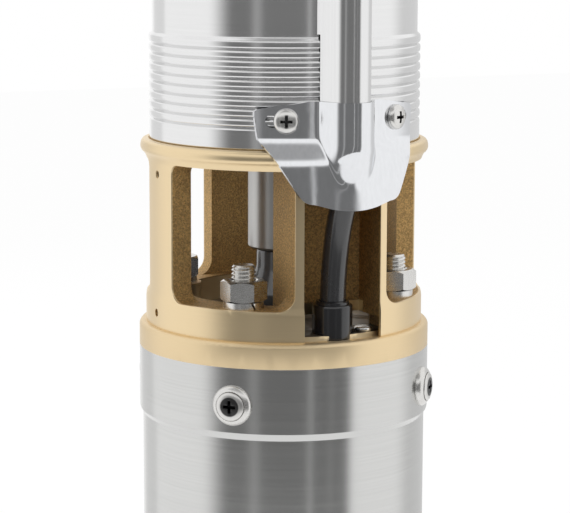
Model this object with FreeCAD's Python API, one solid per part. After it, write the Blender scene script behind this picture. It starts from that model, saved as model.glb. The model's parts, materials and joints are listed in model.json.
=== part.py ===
import FreeCAD, Part
import math
import os
from FreeCAD import Vector

# A 4-inch borehole submersible pump standing on its motor, in millimetres and degrees.
# Z runs up the shaft from the foot of the motor. The cable slot and guard face -Y.

# Clearances shared by the fits
seat_gap = 0.05
running_gap = 0.08
free_gap = 0.3

# Motor: shell, brass top bracket and the flange face that the pump end bolts to
motor_length = 270.0
flange_ring_radius = 48.15
shell_swell = 1.05
shell_wall = 2.0
flange_ring_height = 8.0
flange_ring_round = 1.6
shell_swell_height = 16.0
shell_neck_height = 6.5
register_ledge = 4.5
register_height = 1.5
top_web = 16.0
skirt_wall = 8.0
seal_boss_radius = 13.0
seal_boss_height = 4.0
seal_cavity_radius = 16.0
seal_cavity_roof = 6.0
housing_wall = 6.0

# Bearings of the motor, one size at both ends
bearing_bore_radius = 8.5
bearing_outer_radius = 20.0
bearing_width = 12.0
ball_radius = 3.4
ball_count = 7
race_wall = 3.0
cage_height = 9.0
upper_bearing_depth = 32.0
lower_bearing_height = 36.0

# Stator and rotor
core_start = 86.0
core_top_drop = 64.0
stator_bore_radius = 24.0
air_gap = 0.4
slot_count = 24
slot_depth = 9.0
slot_width = 3.2
slot_lip = 2.0
coil_head_height = 18.0
rotor_bar_count = 18
rotor_bar_depth = 5.0
rotor_bar_width = 2.4
cage_ring_height = 8.0
rotor_seat_radius = 11.0

# Motor shaft end with its spline, after the 4-inch flange standard
shaft_rise = 38.1
shaft_seal_radius = 8.0
spline_radius = 7.7
spline_depth = 0.9
spline_length = 19.0
spline_teeth = 14
spline_groove_width = 1.9

# Seal and sand slinger
seal_seat_height = 5.0
seal_face_height = 4.0
seal_bellows_height = 12.0
slinger_neck_radius = 9.2
slinger_flare_radius = 12.3
slinger_foot = 5.2
slinger_height = 18.2
slinger_skirt = 3.8
slinger_cone = 12.2

# Lower end of the motor
foot_recess = 4.0
retaining_ring_thickness = 2.2
retaining_ring_width = 6.0
groove_depth = 0.9
end_cap_height = 14.0
end_cap_wall = 2.5
foot_boss_radius = 14.0
breather_radius = 2.5
diaphragm_bead = 4.0
diaphragm_wall = 1.8
lower_bracket_web = 8.0

# Fasteners
stud_radius = 4.0
stud_edge = 10.05
stud_depth = 12.0
stud_stick_out = 4.8
nut_across_flats = 13.0
nut_height = 6.8
nut_turns = (27.6, 41.0, 12.0, 1.6)
spring_washer_radius = 6.4
spring_washer_thickness = 2.1
shell_screw_radius = 2.5
shell_screw_head_radius = 4.6
shell_screw_length = 9.0
shell_screw_drop = 20.0
cup_washer_radius = 6.5
cup_washer_thickness = 1.6

# Suction bracket, a brass casting
bracket_height = 60.6
bracket_flange_inset = 2.3
bracket_flange_lip = 0.55
bracket_flange_height = 9.8
bracket_bore_edge = 4.6
bracket_wall = 6.7
stud_pad_radius = 7.8
window_top = 54.2
window_top_round = 3.0
window_foot_round = 5.0
side_post_width = 18.5
back_post_width = 20.0
slot_half_width = 13.5
slot_web = 2.6
slot_reach = 16.9
pocket_half_width = 16.9
pocket_height = 6.0
pocket_lip = 3.1
rim_overhang = 2.2
rim_height = 4.1
rim_cove = 3.0
spigot_height = 24.4
spigot_wall = 3.4
strainer_hole_radius = 1.3
strainer_hole_depth = 5.0
strainer_hole_low = 4.9
strainer_hole_drop = 4.0

# Pump casing with its rolled ribs
casing_inset = 1.8
casing_wall = 1.5
rib_rise = 1.0
rib_pitch = 3.03
rib_count = 9
rib_start = 7.0
rib_groove = 0.75

# Stages
stage_count = 5
stage_pitch = 38.0
bowl_wall = 2.0
plate_wall = 2.0
eye_radius = 17.0
neck_wall = 2.0
neck_ring_wall = 1.9
neck_ring_height = 2.4
impeller_tip_gap = 4.95
impeller_height = 17.2
impeller_float = 0.8
shroud_wall = 1.7
impeller_vanes = 6
vane_wall = 1.8
deck_gap = 3.4
return_vanes = 8
hub_radius = 9.0
deck_hub_radius = 12.5

# Pump shaft, coupling and the bearings that hold the shaft
hex_across_flats = 11.0
sleeve_radius = 7.5
coupling_radius = 12.0
coupling_foot = 23.9
coupling_length = 48.0
coupling_grip = 23.0
spider_height = 12.0
bush_wall = 3.4
spider_hub_wall = 3.0
spider_arm_width = 5.0
spider_arms = 4
shaft_nut_height = 8.0
shaft_nut_radius = 9.5

# Discharge head with its check valve
head_height = 60.0
head_spigot_height = 19.0
head_collar = 8.0
head_shoulder_top = 34.0
head_neck_radius = 30.0
head_spigot_wall = 4.0
outlet_radius = 19.5
outlet_length = 21.0
wrench_flats = 52.0
wrench_height = 20.0
valve_port_radius = 17.0
valve_deck = 13.0
valve_chamber_radius = 25.0
valve_seat_height = 2.0
valve_disc_radius = 20.5
valve_disc_height = 3.0
valve_stem_radius = 3.0
valve_stem_length = 16.0
valve_cage_drop = 15.0
valve_cage_height = 3.0
valve_cage_arms = 3
valve_hub_radius = 6.0
valve_hub_length = 8.0
spring_wire_radius = 0.6
spring_turns = 3.5
spring_steps = 10

# Cable connector, guard, clamp and lead
connector_radius = 6.45
connector_rise = 12.0
connector_mouth = 4.0
connector_depth = 13.0
connector_shift = -1.0
filler_screw_radius = 3.0
filler_screw_rise = 1.4
lead_radius = 4.15
coil_radius = 47.6
guard_half_width = 9.2
guard_crown_radius = 6.6
guard_wall = 0.6
guard_foot = 0.8
strap_height = 12.0
strap_rise = 3.4
strap_drop = 10.0
clamp_wall = 1.0
clamp_bend = 1.2
clamp_corner_round = 5.0
clamp_ear_round = 2.0
clamp_top = 15.4
clamp_ear_height = 11.9
clamp_ear_fall = 2.4
clamp_top_half = 12.0
clamp_ear_taper = 1.0
clamp_tip_sink = 3.2
clamp_tip_rise = 0.8
clamp_step_height = 6.6
clamp_step_out = 4.3
clamp_lip_out = 2.0
clamp_ear_angle = 38.5
clamp_corner_angle = 18.6
clamp_drop = 18.4
clamp_corner_rise = 2.4
clamp_screw_angle = 24.7
clamp_screw_rise = 9.4
clamp_screw_radius = 2.0
clamp_screw_head = 4.0
clamp_slot_length = 9.0
guard_screw_length = 5.0

# Radii that follow from the flange ring, whose size all the rest keeps to
shell_radius = flange_ring_radius - shell_swell
register_radius = flange_ring_radius - register_ledge
stud_circle_radius = flange_ring_radius - stud_edge
bracket_flange_radius = flange_ring_radius - bracket_flange_inset
bracket_radius = bracket_flange_radius - bracket_flange_lip
bracket_bore_radius = stud_circle_radius - bracket_bore_edge
rim_radius = bracket_radius + rim_overhang
casing_radius = bracket_radius - casing_inset
casing_bore = casing_radius - casing_wall
shell_bore = shell_radius - shell_wall
swell_bore = flange_ring_radius - shell_wall
impeller_radius = casing_bore - seat_gap - bowl_wall - impeller_tip_gap

# Levels that follow from the sizes above
face = motor_length
shell_top = face - flange_ring_height
neck_top = shell_top - shell_swell_height
neck_foot = neck_top - shell_neck_height
rim_top = face + bracket_height
spigot_top = rim_top + spigot_height
stages_foot = spigot_top + spider_height
stages_top = stages_foot + stage_count * stage_pitch
top_spider_top = stages_top + spider_height
casing_top = top_spider_top + head_spigot_height
strap_middle = stages_top + strap_rise
guard_top = strap_middle + strap_drop
core_top = face - core_top_drop
head_top = casing_top + head_height

# Shared shapes
def outline(*steps):
    """Closed wire in the XZ plane. A step is a corner (r, z), or an arc as (middle, end)."""
    edges = []
    start = Vector(steps[0][0], 0, steps[0][1])
    here = start
    for step in steps[1:] + (steps[0],):
        if isinstance(step[0], tuple):
            middle, end = (Vector(r, 0, z) for r, z in step)
            edges.append(Part.Arc(here, middle, end).toShape())
        else:
            end = Vector(step[0], 0, step[1])
            edges.append(Part.LineSegment(here, end).toShape())
        here = end
    return Part.Wire(edges)


def turned(*steps):
    """A solid of revolution about Z from an outline of radii and heights."""
    return Part.Face(outline(*steps)).revolve(Vector(0, 0, 0), Vector(0, 0, 1), 360)


def disc(radius, low, high, x=0.0, y=0.0):
    return Part.makeCylinder(radius, high - low, Vector(x, y, low))


def ring(inner, outer, low, high, x=0.0, y=0.0):
    return disc(outer, low, high, x, y).cut(disc(inner, low, high, x, y))


def block(x0, x1, y0, y1, z0, z1):
    return Part.makeBox(x1 - x0, y1 - y0, z1 - z0, Vector(x0, y0, z0))


def prism(points, low, high):
    """A flat outline of (x, y) corners raised from one level to another."""
    corners = [Vector(x, y, low) for x, y in points]
    face_shape = Part.Face(Part.makePolygon(corners + corners[:1]))
    return face_shape.extrude(Vector(0, 0, high - low))


def hexagon(across_flats, low, high, turn=0.0):
    corner = across_flats / math.sqrt(3)
    angles = [math.radians(60 * i + turn) for i in range(6)]
    return prism([(corner * math.cos(a), corner * math.sin(a)) for a in angles], low, high)


def spin(shape, angle):
    copy = shape.copy()
    copy.rotate(Vector(0, 0, 0), Vector(0, 0, 1), angle)
    return copy


def around(shape, count, first=0.0):
    return [spin(shape, first + i * 360.0 / count) for i in range(count)]


def moved(shape, x=0.0, y=0.0, z=0.0):
    copy = shape.copy()
    copy.translate(Vector(x, y, z))
    return copy


def facing(shape, radius, angle, level):
    """Stands a piece made along Z on a wall, pointing out; angle 0 is the cable slot's side."""
    copy = shape.copy()
    copy.rotate(Vector(0, 0, 0), Vector(1, 0, 0), 90)
    copy.translate(Vector(0, -radius, level))
    return spin(copy, angle)


def joined(parts):
    shape = parts[0].multiFuse(parts[1:]) if len(parts) > 1 else parts[0]
    return shape.removeSplitter()


def at_angle(radius, angle):
    """Plan position at an angle from the cable slot's side, positive towards +X."""
    return radius * math.sin(math.radians(angle)), -radius * math.cos(math.radians(angle))


def save(name, shape):
    if shape.ShapeType == "Compound" and len(shape.Solids) == 1:
        shape = shape.Solids[0]
    shape.exportStep("parts/" + name + ".step")


# Motor shell and its foot
def motor_shell():
    tube = turned(
        (shell_bore, 0), (shell_radius, 0), (shell_radius, neck_foot),
        (flange_ring_radius, neck_top), (flange_ring_radius, shell_top),
        (swell_bore, shell_top), (swell_bore, neck_top), (shell_bore, neck_foot),
    )
    groove = disc(shell_bore + groove_depth, foot_recess, foot_recess + retaining_ring_thickness)
    hole = facing(disc(shell_screw_radius + seat_gap, -4 * shell_wall, 2 * shell_wall), swell_bore, 45,
                  face - shell_screw_drop)
    return tube.cut(groove).cut(Part.makeCompound(around(hole, 4)))


def end_retaining_ring():
    outer = shell_bore + groove_depth - seat_gap
    low = foot_recess
    whole = ring(outer - retaining_ring_width, outer, low, low + retaining_ring_thickness)
    gap = prism([(0, 0), at_angle(2 * outer, 172), at_angle(2 * outer, 188)], low, low + 5)
    return whole.cut(gap)


def end_cap():
    low = foot_recess + retaining_ring_thickness
    radius = shell_bore - seat_gap
    inner = radius - end_cap_wall
    cup = turned(
        (0, 0), (foot_boss_radius, 0), (foot_boss_radius, low), (radius, low),
        (radius, low + end_cap_height), (inner, low + end_cap_height),
        (inner, low + 2 * end_cap_wall), (inner - end_cap_wall, low + end_cap_wall),
        (0, low + end_cap_wall),
    )
    vents = around(disc(breather_radius, low, low + 2 * end_cap_wall, y=-inner / 2), 6)
    return cup.cut(Part.makeCompound(vents))


def diaphragm():
    low = foot_recess + retaining_ring_thickness + end_cap_height
    outer = shell_bore - seat_gap
    bead = outer - diaphragm_bead
    centre = bead * 0.3
    roll = (centre + bead) / 2
    dip = low - end_cap_height / 2
    wall = diaphragm_wall
    high = low + diaphragm_bead
    return turned(
        (0, low - wall), (centre, low - wall), ((roll, dip - wall), (bead + wall / 2, low)),
        (outer, low), (outer, high), (bead, high), (bead, high - wall), ((roll, dip), (centre, low)),
        (0, low),
    )


def lower_bracket():
    low = foot_recess + retaining_ring_thickness + end_cap_height + diaphragm_bead
    radius = shell_bore - seat_gap
    housing = bearing_outer_radius + seat_gap
    web_top = low + lower_bracket_web
    rise = lower_bearing_height
    body = turned(
        (bearing_bore_radius + 2, low), (radius, low), (radius, web_top + lower_bracket_web),
        (radius - housing_wall, web_top + lower_bracket_web), (radius - housing_wall, web_top),
        (housing + housing_wall, web_top), (housing + housing_wall, rise + bearing_width),
        (housing, rise + bearing_width), (housing, rise), (bearing_bore_radius + 2, rise),
    )
    passage = disc(3.0, low - 1, web_top + 1, y=-(housing + housing_wall + radius - housing_wall) / 2)
    return body.cut(Part.makeCompound(around(passage, 6)))


# Motor top bracket: brass ring, register, seal cavity and bearing housing in one piece
def motor_top_bracket():
    spigot = swell_bore - seat_gap
    skirt = spigot - skirt_wall
    housing = bearing_outer_radius + seat_gap
    bearing_roof = face - upper_bearing_depth
    bearing_foot = bearing_roof - bearing_width
    hole = shaft_seal_radius + free_gap
    bend = flange_ring_round
    ring_low = face - flange_ring_height
    skirt_low = neck_top + 1.0
    body = turned(
        (hole, face + seal_boss_height), (seal_boss_radius, face + seal_boss_height),
        (seal_boss_radius, face + register_height), (register_radius, face + register_height),
        (register_radius, face), (flange_ring_radius - bend, face),
        ((flange_ring_radius - 0.3 * bend, face - 0.3 * bend), (flange_ring_radius, face - bend)),
        (flange_ring_radius, ring_low), (spigot, ring_low), (spigot, skirt_low),
        (skirt, skirt_low), (skirt, face - top_web),
        (housing + housing_wall, face - top_web), (housing + housing_wall, bearing_foot),
        (housing, bearing_foot), (housing, bearing_roof), (seal_cavity_radius, bearing_roof),
        (seal_cavity_radius, face - seal_cavity_roof), (hole, face - seal_cavity_roof),
    )
    x, y = at_angle(stud_circle_radius, 45)
    studs = around(disc(stud_radius, face - stud_depth, face + top_web, x, y), 4)
    screw = facing(disc(shell_screw_radius, -shell_screw_length, 2), swell_bore, 45,
                   face - shell_screw_drop)
    socket = disc(connector_radius + seat_gap, face - connector_depth, face + top_web,
                  connector_shift, -stud_circle_radius)
    wires = disc(connector_radius / 2, face - 2 * top_web, face, connector_shift,
                 -stud_circle_radius + connector_radius / 2)
    x, y = filler_place()
    filler = disc(filler_screw_radius / 2, face - 2 * top_web, face + top_web, x, y)
    return body.cut(Part.makeCompound(studs + around(screw, 4) + [socket, wires, filler]))


def filler_place():
    return connector_shift + connector_radius + filler_screw_radius + 1.0, -stud_circle_radius - 1.0


def oil_filler_screw():
    x, y = filler_place()
    radius = filler_screw_radius
    low = face + register_height
    head = disc(radius, low, low + filler_screw_rise, x, y)
    head = head.makeFillet(0.5, [head.Edges[0]])
    slot = block(x - radius, x + radius, y - 0.4, y + 0.4, low + filler_screw_rise - 0.7,
                 low + filler_screw_rise + 1)
    return joined([head, disc(radius / 2 - seat_gap, face - top_web, low, x, y)]).cut(slot)


def cable_connector():
    low = face - connector_depth + 0.5
    high = face + connector_rise
    collar = high - 2.2
    throat = lead_radius + 0.9
    mouth = lead_radius + 2 * seat_gap
    body = turned(
        (0, low), (connector_radius, low), (connector_radius, collar),
        ((connector_radius - 0.3, high - 1.0), (throat, high - 0.8)), (throat, high), (mouth, high),
        (mouth, high - connector_mouth), (0, high - connector_mouth),
    )
    return moved(body, connector_shift, -stud_circle_radius)


# Bearings
def bearing_pitch_radius():
    return (bearing_bore_radius + bearing_outer_radius) / 2


def race_groove(low):
    return Part.makeTorus(bearing_pitch_radius(), ball_radius + running_gap,
                          Vector(0, 0, low + bearing_width / 2))


def bearing_inner_ring(low):
    whole = ring(bearing_bore_radius, bearing_bore_radius + race_wall, low, low + bearing_width)
    return whole.cut(race_groove(low))


def bearing_outer_ring(low):
    whole = ring(bearing_outer_radius - race_wall, bearing_outer_radius, low, low + bearing_width)
    return whole.cut(race_groove(low))


def bearing_balls(low):
    pitch = bearing_pitch_radius()
    middle = low + bearing_width / 2
    balls = around(Part.makeSphere(ball_radius, Vector(0, -pitch, middle)), ball_count)
    pockets = around(Part.makeSphere(ball_radius + running_gap, Vector(0, -pitch, middle)), ball_count)
    wall = race_wall / 3
    cage = ring(pitch - wall, pitch + wall, middle - cage_height / 2, middle + cage_height / 2)
    return Part.makeCompound(balls + [cage.cut(Part.makeCompound(pockets))])


# Stator and rotor
def slot_prisms(count, radius, depth, width, low, high):
    """Bars of a slot's section, set round the axis."""
    inner = width * radius / (radius + depth)
    bar = prism([(-inner / 2, -radius), (inner / 2, -radius), (width / 2, -radius - depth),
                 (-width / 2, -radius - depth)], low, high)
    return around(bar, count)


def stator_slots(low, high, gap=0.0):
    return slot_prisms(slot_count, stator_bore_radius + slot_lip + gap, slot_depth - 2 * gap,
                       slot_width - 2 * gap, low, high)


def stator_core():
    core = ring(stator_bore_radius, shell_bore - seat_gap, core_start, core_top)
    return core.cut(Part.makeCompound(stator_slots(core_start, core_top)))


def coil_head(low, high):
    inner = stator_bore_radius + slot_lip
    outer = inner + slot_depth + 2
    bend = 3.0
    nip = bend / 4
    return turned(
        (inner, low), (outer - bend, low), ((outer - nip, low + nip), (outer, low + bend)),
        (outer, high - bend), ((outer - nip, high - nip), (outer - bend, high)), (inner, high),
    )


def stator_windings():
    low, high = core_start, core_top
    bars = stator_slots(low - 0.5, high + 0.5, seat_gap)
    heads = [coil_head(low - coil_head_height, low - seat_gap),
             coil_head(high + seat_gap, high + coil_head_height)]
    return joined(heads + bars)


def rotor_bars(low, high, gap=0.0):
    radius = stator_bore_radius - air_gap - 1.0 - rotor_bar_depth
    return slot_prisms(rotor_bar_count, radius + gap, rotor_bar_depth - 2 * gap,
                       rotor_bar_width - 2 * gap, low, high)


def rotor_core():
    core = ring(rotor_seat_radius, stator_bore_radius - air_gap, core_start, core_top)
    return core.cut(Part.makeCompound(rotor_bars(core_start, core_top)))


def rotor_cage():
    low, high = core_start, core_top
    outer = stator_bore_radius - air_gap - 1.0
    inner = outer - rotor_bar_depth - 2
    rings = [ring(inner, outer, low - cage_ring_height, low - seat_gap),
             ring(inner, outer, high + seat_gap, high + cage_ring_height)]
    return joined(rings + rotor_bars(low - 0.5, high + 0.5, seat_gap))


def spline_cutters(radius, depth, width, low, high):
    half = width / 2
    root = radius - depth
    cutter = prism([(-0.8 * half, -root), (0.8 * half, -root), (half, -radius - 1), (-half, -radius - 1)],
                   low, high)
    return around(cutter, spline_teeth)


def motor_shaft():
    low_end = lower_bearing_height - 4
    low_shoulder = lower_bearing_height + bearing_width
    high_shoulder = face - upper_bearing_depth - bearing_width
    seal_step = face - upper_bearing_depth + 2
    top = face + shaft_rise
    chamfer = 0.8
    shaft = turned(
        (0, low_end), (bearing_bore_radius, low_end), (bearing_bore_radius, low_shoulder),
        (rotor_seat_radius, low_shoulder), (rotor_seat_radius, high_shoulder),
        (bearing_bore_radius, high_shoulder), (bearing_bore_radius, seal_step),
        (shaft_seal_radius, seal_step), (shaft_seal_radius, face + seal_boss_height),
        (spline_radius, face + seal_boss_height), (spline_radius, top - chamfer),
        (spline_radius - chamfer, top), (0, top),
    )
    grooves = spline_cutters(spline_radius, spline_depth, spline_groove_width,
                             top - spline_length, top + 1)
    return shaft.cut(Part.makeCompound(grooves))


def shaft_seal_seat():
    high = face - seal_cavity_roof
    return ring(shaft_seal_radius + free_gap, seal_cavity_radius - seat_gap, high - seal_seat_height, high)


def seal_rotor():
    high = face - seal_cavity_roof - seal_seat_height - seat_gap
    face_low = high - seal_face_height
    low = face_low - seal_bellows_height
    inner = shaft_seal_radius
    outer = seal_cavity_radius - 3
    fold = seal_bellows_height / 4
    steps = [(inner, low), (outer, low), (outer, low + fold)]
    steps += [(inner + 2, low + 1.5 * fold), (outer, low + 2 * fold), (outer, low + 2.5 * fold),
              (inner + 2, low + 3 * fold), (outer, low + 3.5 * fold)]
    steps += [(outer, face_low), (outer - 1, face_low), (outer - 1, high), (inner, high)]
    return turned(*steps)


def sand_slinger():
    low = face + slinger_foot
    high = low + slinger_height
    neck = slinger_neck_radius
    flare = slinger_flare_radius
    return turned(
        (spline_radius, low), (flare - 0.8, low), (flare, low + 0.8), (flare, low + slinger_skirt),
        (neck, low + slinger_cone), (neck, high - 0.5), (neck - 0.5, high), (spline_radius, high),
    )


# Fasteners of the flange and the shell
def nut(turn):
    """A hexagon nut with both faces chamfered, resting on level 0."""
    corner = nut_across_flats / math.sqrt(3)
    flat = nut_across_flats / 2
    chamfer = (corner - flat) * 0.6
    body = turned((0, 0), (flat, 0), (corner, chamfer), (corner, nut_height - chamfer),
                  (flat, nut_height), (0, nut_height))
    return hexagon(nut_across_flats, 0, nut_height, turn).common(body).cut(
        disc(stud_radius, -1, nut_height + 1))


def on_studs(shape, level):
    x, y = at_angle(stud_circle_radius, 45)
    return Part.makeCompound(around(moved(shape, x, y, level), 4))


def flange_studs():
    grip = bracket_flange_height + spring_washer_thickness + nut_height
    length = stud_depth + grip + stud_stick_out
    chamfer = 0.8
    stud = turned((0, 0), (stud_radius, 0), (stud_radius, length - chamfer),
                  (stud_radius - chamfer, length), (0, length))
    return on_studs(stud, face - stud_depth)


def spring_washers():
    whole = ring(stud_radius, spring_washer_radius, 0, spring_washer_thickness)
    slit = block(0, 2 * spring_washer_radius, -0.4, 0.4, -1, 5)
    slit.rotate(Vector(0, 0, 0), Vector(1, 0, 0), 20)
    return on_studs(whole.cut(spin(slit, -20)), face + bracket_flange_height)


def flange_nuts():
    """The four nuts, each turned as it came to rest."""
    x, y = at_angle(stud_circle_radius, 45)
    level = face + bracket_flange_height + spring_washer_thickness
    nuts = [spin(moved(nut(turn), x, y, level), i * 90) for i, turn in enumerate(nut_turns)]
    return Part.makeCompound(nuts)


def cross_recess(width, depth, top):
    arms = [block(-width / 2, width / 2, -0.55, 0.55, top - depth, top + 1),
            block(-0.55, 0.55, -width / 2, width / 2, top - depth, top + 1)]
    return Part.makeCompound(arms)


def shell_screws():
    """Countersunk screws seated in cup washers round the top of the shell."""
    head = shell_screw_head_radius
    shank = shell_screw_radius
    depth = head - shank
    screw = turned(
        (0, -shell_screw_length), (shank - seat_gap, -shell_screw_length), (shank - seat_gap, 0),
        (head, depth), (head, depth + 0.2), ((head * 0.6, depth + 0.75), (0, depth + 0.95)),
    )
    screw = screw.cut(cross_recess(head, 1.6, depth + 0.95))
    one = facing(screw, flange_ring_radius, 45, face - shell_screw_drop)
    return Part.makeCompound(around(one, 4))


def cup_washers():
    head = shell_screw_head_radius
    shank = shell_screw_radius
    top = cup_washer_thickness
    rise = head - shank
    washer = turned(
        (shank + seat_gap, -1), (cup_washer_radius, -1), (cup_washer_radius, top * 0.5),
        ((cup_washer_radius - 0.4, top * 0.9), (cup_washer_radius - 1.0, rise)),
        (head + seat_gap, rise), (shank + seat_gap, 0),
    )
    one = facing(washer, flange_ring_radius, 45, face - shell_screw_drop)
    inside = disc(flange_ring_radius, face - 2 * shell_screw_drop, face)
    return Part.makeCompound(around(one.cut(inside), 4))


# Suction bracket
window_inner = bracket_radius - 2 * bracket_wall


def window(left, right):
    """Cutter for an opening between two walls, each given by its inner and outer plan points."""
    low = face + bracket_flange_height
    high = face + window_top
    points = [left[0], left[1], right[1], right[0]]
    cutter = prism(points, low, high)

    def long_edges(level):
        found = []
        for edge in cutter.Edges:
            ends = [v.Point for v in edge.Vertexes]
            flat = all(abs(p.z - level) < 0.01 for p in ends)
            across = abs(math.hypot(ends[0].x, ends[0].y) - math.hypot(ends[1].x, ends[1].y)) > 10
            if flat and across:
                found.append(edge)
        return found

    cutter = cutter.makeFillet(window_top_round, long_edges(high))
    return cutter.makeFillet(window_foot_round, long_edges(low))


def post_wall(angle, offset):
    """Plan points of a plane that runs radially at an angle and stands off by half a post."""
    a = math.radians(angle)
    out = (math.sin(a), -math.cos(a))
    side = (math.cos(a), math.sin(a))
    return [(out[0] * r + side[0] * offset, out[1] * r + side[1] * offset)
            for r in (window_inner, 2 * bracket_radius)]


def suction_bracket():
    radius = bracket_radius
    inner = radius - bracket_wall
    collar = casing_bore - seat_gap
    cove = face + bracket_height - rim_height
    body = turned(
        (inner, face), (bracket_flange_radius, face), (bracket_flange_radius, face + bracket_flange_height),
        (radius, face + bracket_flange_height), (radius, cove - rim_cove),
        ((radius + 0.3 * rim_cove, cove - 0.7 * rim_cove + 1), (rim_radius - 0.6, cove)),
        ((rim_radius, cove + 0.8), (rim_radius, cove + 0.5 * rim_height)),
        ((rim_radius - 0.5, rim_top - 0.4), (rim_radius - 1.6, rim_top)),
        (collar, rim_top), (collar, spigot_top), (collar - spigot_wall, spigot_top),
        (collar - spigot_wall, face + window_top), (inner, face + window_top),
    )
    flange = ring(bracket_bore_radius, inner + 1, face, face + bracket_flange_height)
    x, y = at_angle(stud_circle_radius, 45)
    pads = around(disc(stud_pad_radius, face, face + bracket_flange_height, x, y), 4)
    pads = Part.makeCompound(pads).common(disc(bracket_flange_radius, face, rim_top))
    roof = ring(collar - spigot_wall, inner + 1, face + window_top, rim_top)
    wall = slot_half_width + slot_web
    back = -(radius - slot_reach)
    box = block(-wall, wall, -radius, back + slot_web, face, face + window_top + 0.5)
    box = box.common(disc(radius - 0.02, face, rim_top))
    whole = body.fuse([flange, pads, roof, box])

    side = side_post_width / 2
    back_half = back_post_width / 2
    web_plane = [(wall, -window_inner), (wall, -2 * bracket_radius)]
    windows = [window(web_plane, post_wall(90, -side)),
               window(post_wall(90, side), post_wall(180, -back_half))]
    mirrored = [w.mirror(Vector(0, 0, 0), Vector(1, 0, 0)) for w in windows]
    slot = block(-slot_half_width, slot_half_width, -2 * radius, back, face - 1, face + window_top)
    pocket = block(-pocket_half_width, pocket_half_width, -radius + pocket_lip, back + 2 * slot_web,
                   face - 1, face + pocket_height)
    notch = block(-lead_radius - 2, lead_radius + 2, -2 * radius, -(casing_radius - 2.5),
                  face + window_top - 1, rim_top + 1)
    register = disc(register_radius + 0.1, face - 1, face + register_height + 0.1)
    studs = around(disc(stud_radius + free_gap, face - 1, face + bracket_flange_height + 1, x, y), 4)
    holes = []
    for level in (face + strainer_hole_low, face + window_top - strainer_hole_drop):
        for angle in (90, -90):
            holes.append(facing(disc(strainer_hole_radius, -strainer_hole_depth, 5), radius, angle, level))
    cutters = windows + mirrored + [slot, pocket, notch, register] + studs + holes
    cutters += guard_screw_holes(rim_top + clamp_screw_rise)
    return whole.cut(Part.makeCompound(cutters)).removeSplitter()


def guard_screw_holes(level):
    """Cutters for the pair of screws that holds the guard's clamp or strap."""
    hole = disc(clamp_screw_radius, -guard_screw_length - 1, 6)
    return [facing(hole, casing_radius, side * clamp_screw_angle, level) for side in (-1, 1)]


# Spiders that carry the shaft bushes at both ends of the stage stack
def spider(low, high):
    outer = casing_bore - seat_gap
    inner = outer - spigot_wall
    hub_in = sleeve_radius + running_gap + bush_wall
    hub_out = hub_in + spider_hub_wall
    parts = [ring(inner, outer, low, high), ring(hub_in, hub_out, low, high)]
    arm = block(-spider_arm_width / 2, spider_arm_width / 2, -inner - 1, -hub_in - 1, low + 2, high)
    return joined(parts + around(arm, spider_arms, 45))


def bush(low, high):
    inner = sleeve_radius + running_gap
    body = ring(inner, inner + bush_wall, low, high)
    groove = disc(1.2, low - 1, high + 1, y=-inner)
    return body.cut(Part.makeCompound(around(groove, 6)))


# Pump casing
def pump_casing():
    low = rim_top + rib_start
    crest = casing_radius + rib_rise
    root = crest - rib_groove
    steps = [(casing_bore, rim_top), (crest, rim_top), (crest, low - 0.6)]
    for i in range(rib_count):
        z = low + i * rib_pitch
        steps += [(root, z), (crest, z + 0.6)]
        last = i == rib_count - 1
        step = rib_pitch * (1.1 if last else 1.0)
        steps += [((crest + 0.05, z + step / 2), (crest, z + step - 0.6))]
    end = low + (rib_count - 1) * rib_pitch + 1.1 * rib_pitch
    steps += [(casing_radius, end), (casing_radius, casing_top), (casing_bore, casing_top)]
    wall = turned(*steps)
    holes = guard_screw_holes(rim_top + clamp_screw_rise) + guard_screw_holes(strap_middle)
    return wall.cut(Part.makeCompound(holes))


# Stages
def curved_vane(r0, r1, turn, wall, low, high):
    """A blade that sweeps through an angle between two radii, as one thick arc."""
    inner = Vector(0, -r0, low)
    x, y = at_angle(r1, turn)
    outer = Vector(x, y, low)
    x, y = at_angle((r0 + r1) / 2, turn * 0.36)
    middle = Vector(x, y, low)
    circle = Part.Arc(inner, middle, outer).toShape().Curve
    centre = circle.Center
    radius = circle.Radius

    def shifted(point, offset):
        out = (point - centre).normalize()
        return centre + out * (radius + offset)

    half = wall / 2
    a = [shifted(p, half) for p in (inner, middle, outer)]
    b = [shifted(p, -half) for p in (outer, middle, inner)]
    edges = [Part.Arc(*a).toShape(), Part.LineSegment(a[2], b[0]).toShape(),
             Part.Arc(*b).toShape(), Part.LineSegment(b[2], a[0]).toShape()]
    return Part.Face(Part.Wire(edges)).extrude(Vector(0, 0, high - low))


def neck_radius():
    return eye_radius + neck_wall


def neck_ring(low):
    inner = neck_radius() + free_gap
    return ring(inner, inner + neck_ring_wall, low, low + neck_ring_height)


def diffuser(low):
    """One bowl: outer wall, eye plate below, deck over the impeller and return vanes above it."""
    outer = casing_bore - seat_gap
    inner = outer - bowl_wall
    top = low + stage_pitch
    eye = neck_radius() + free_gap + neck_ring_wall + seat_gap
    deck = low + plate_wall + impeller_float + impeller_height + impeller_float
    deck_radius = inner - deck_gap
    bore = sleeve_radius + free_gap
    bend = 2.0
    bowl = turned(
        (eye, low), (outer, low), (outer, top), (inner, top), (inner, low + plate_wall + bend),
        ((inner - 0.3 * bend, low + plate_wall + 0.3 * bend), (inner - bend, low + plate_wall)),
        (eye, low + plate_wall),
    )
    plate = turned(
        (bore, deck), (deck_radius, deck), (deck_radius, deck + plate_wall),
        (deck_hub_radius, deck + plate_wall), (bore + 2, top - 3), (bore, top - 3),
    )
    vane = curved_vane(deck_hub_radius + 1, inner + 0.5, -58, vane_wall, deck + 0.5 * plate_wall, top)
    return joined([bowl, plate] + around(vane, return_vanes))


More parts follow.
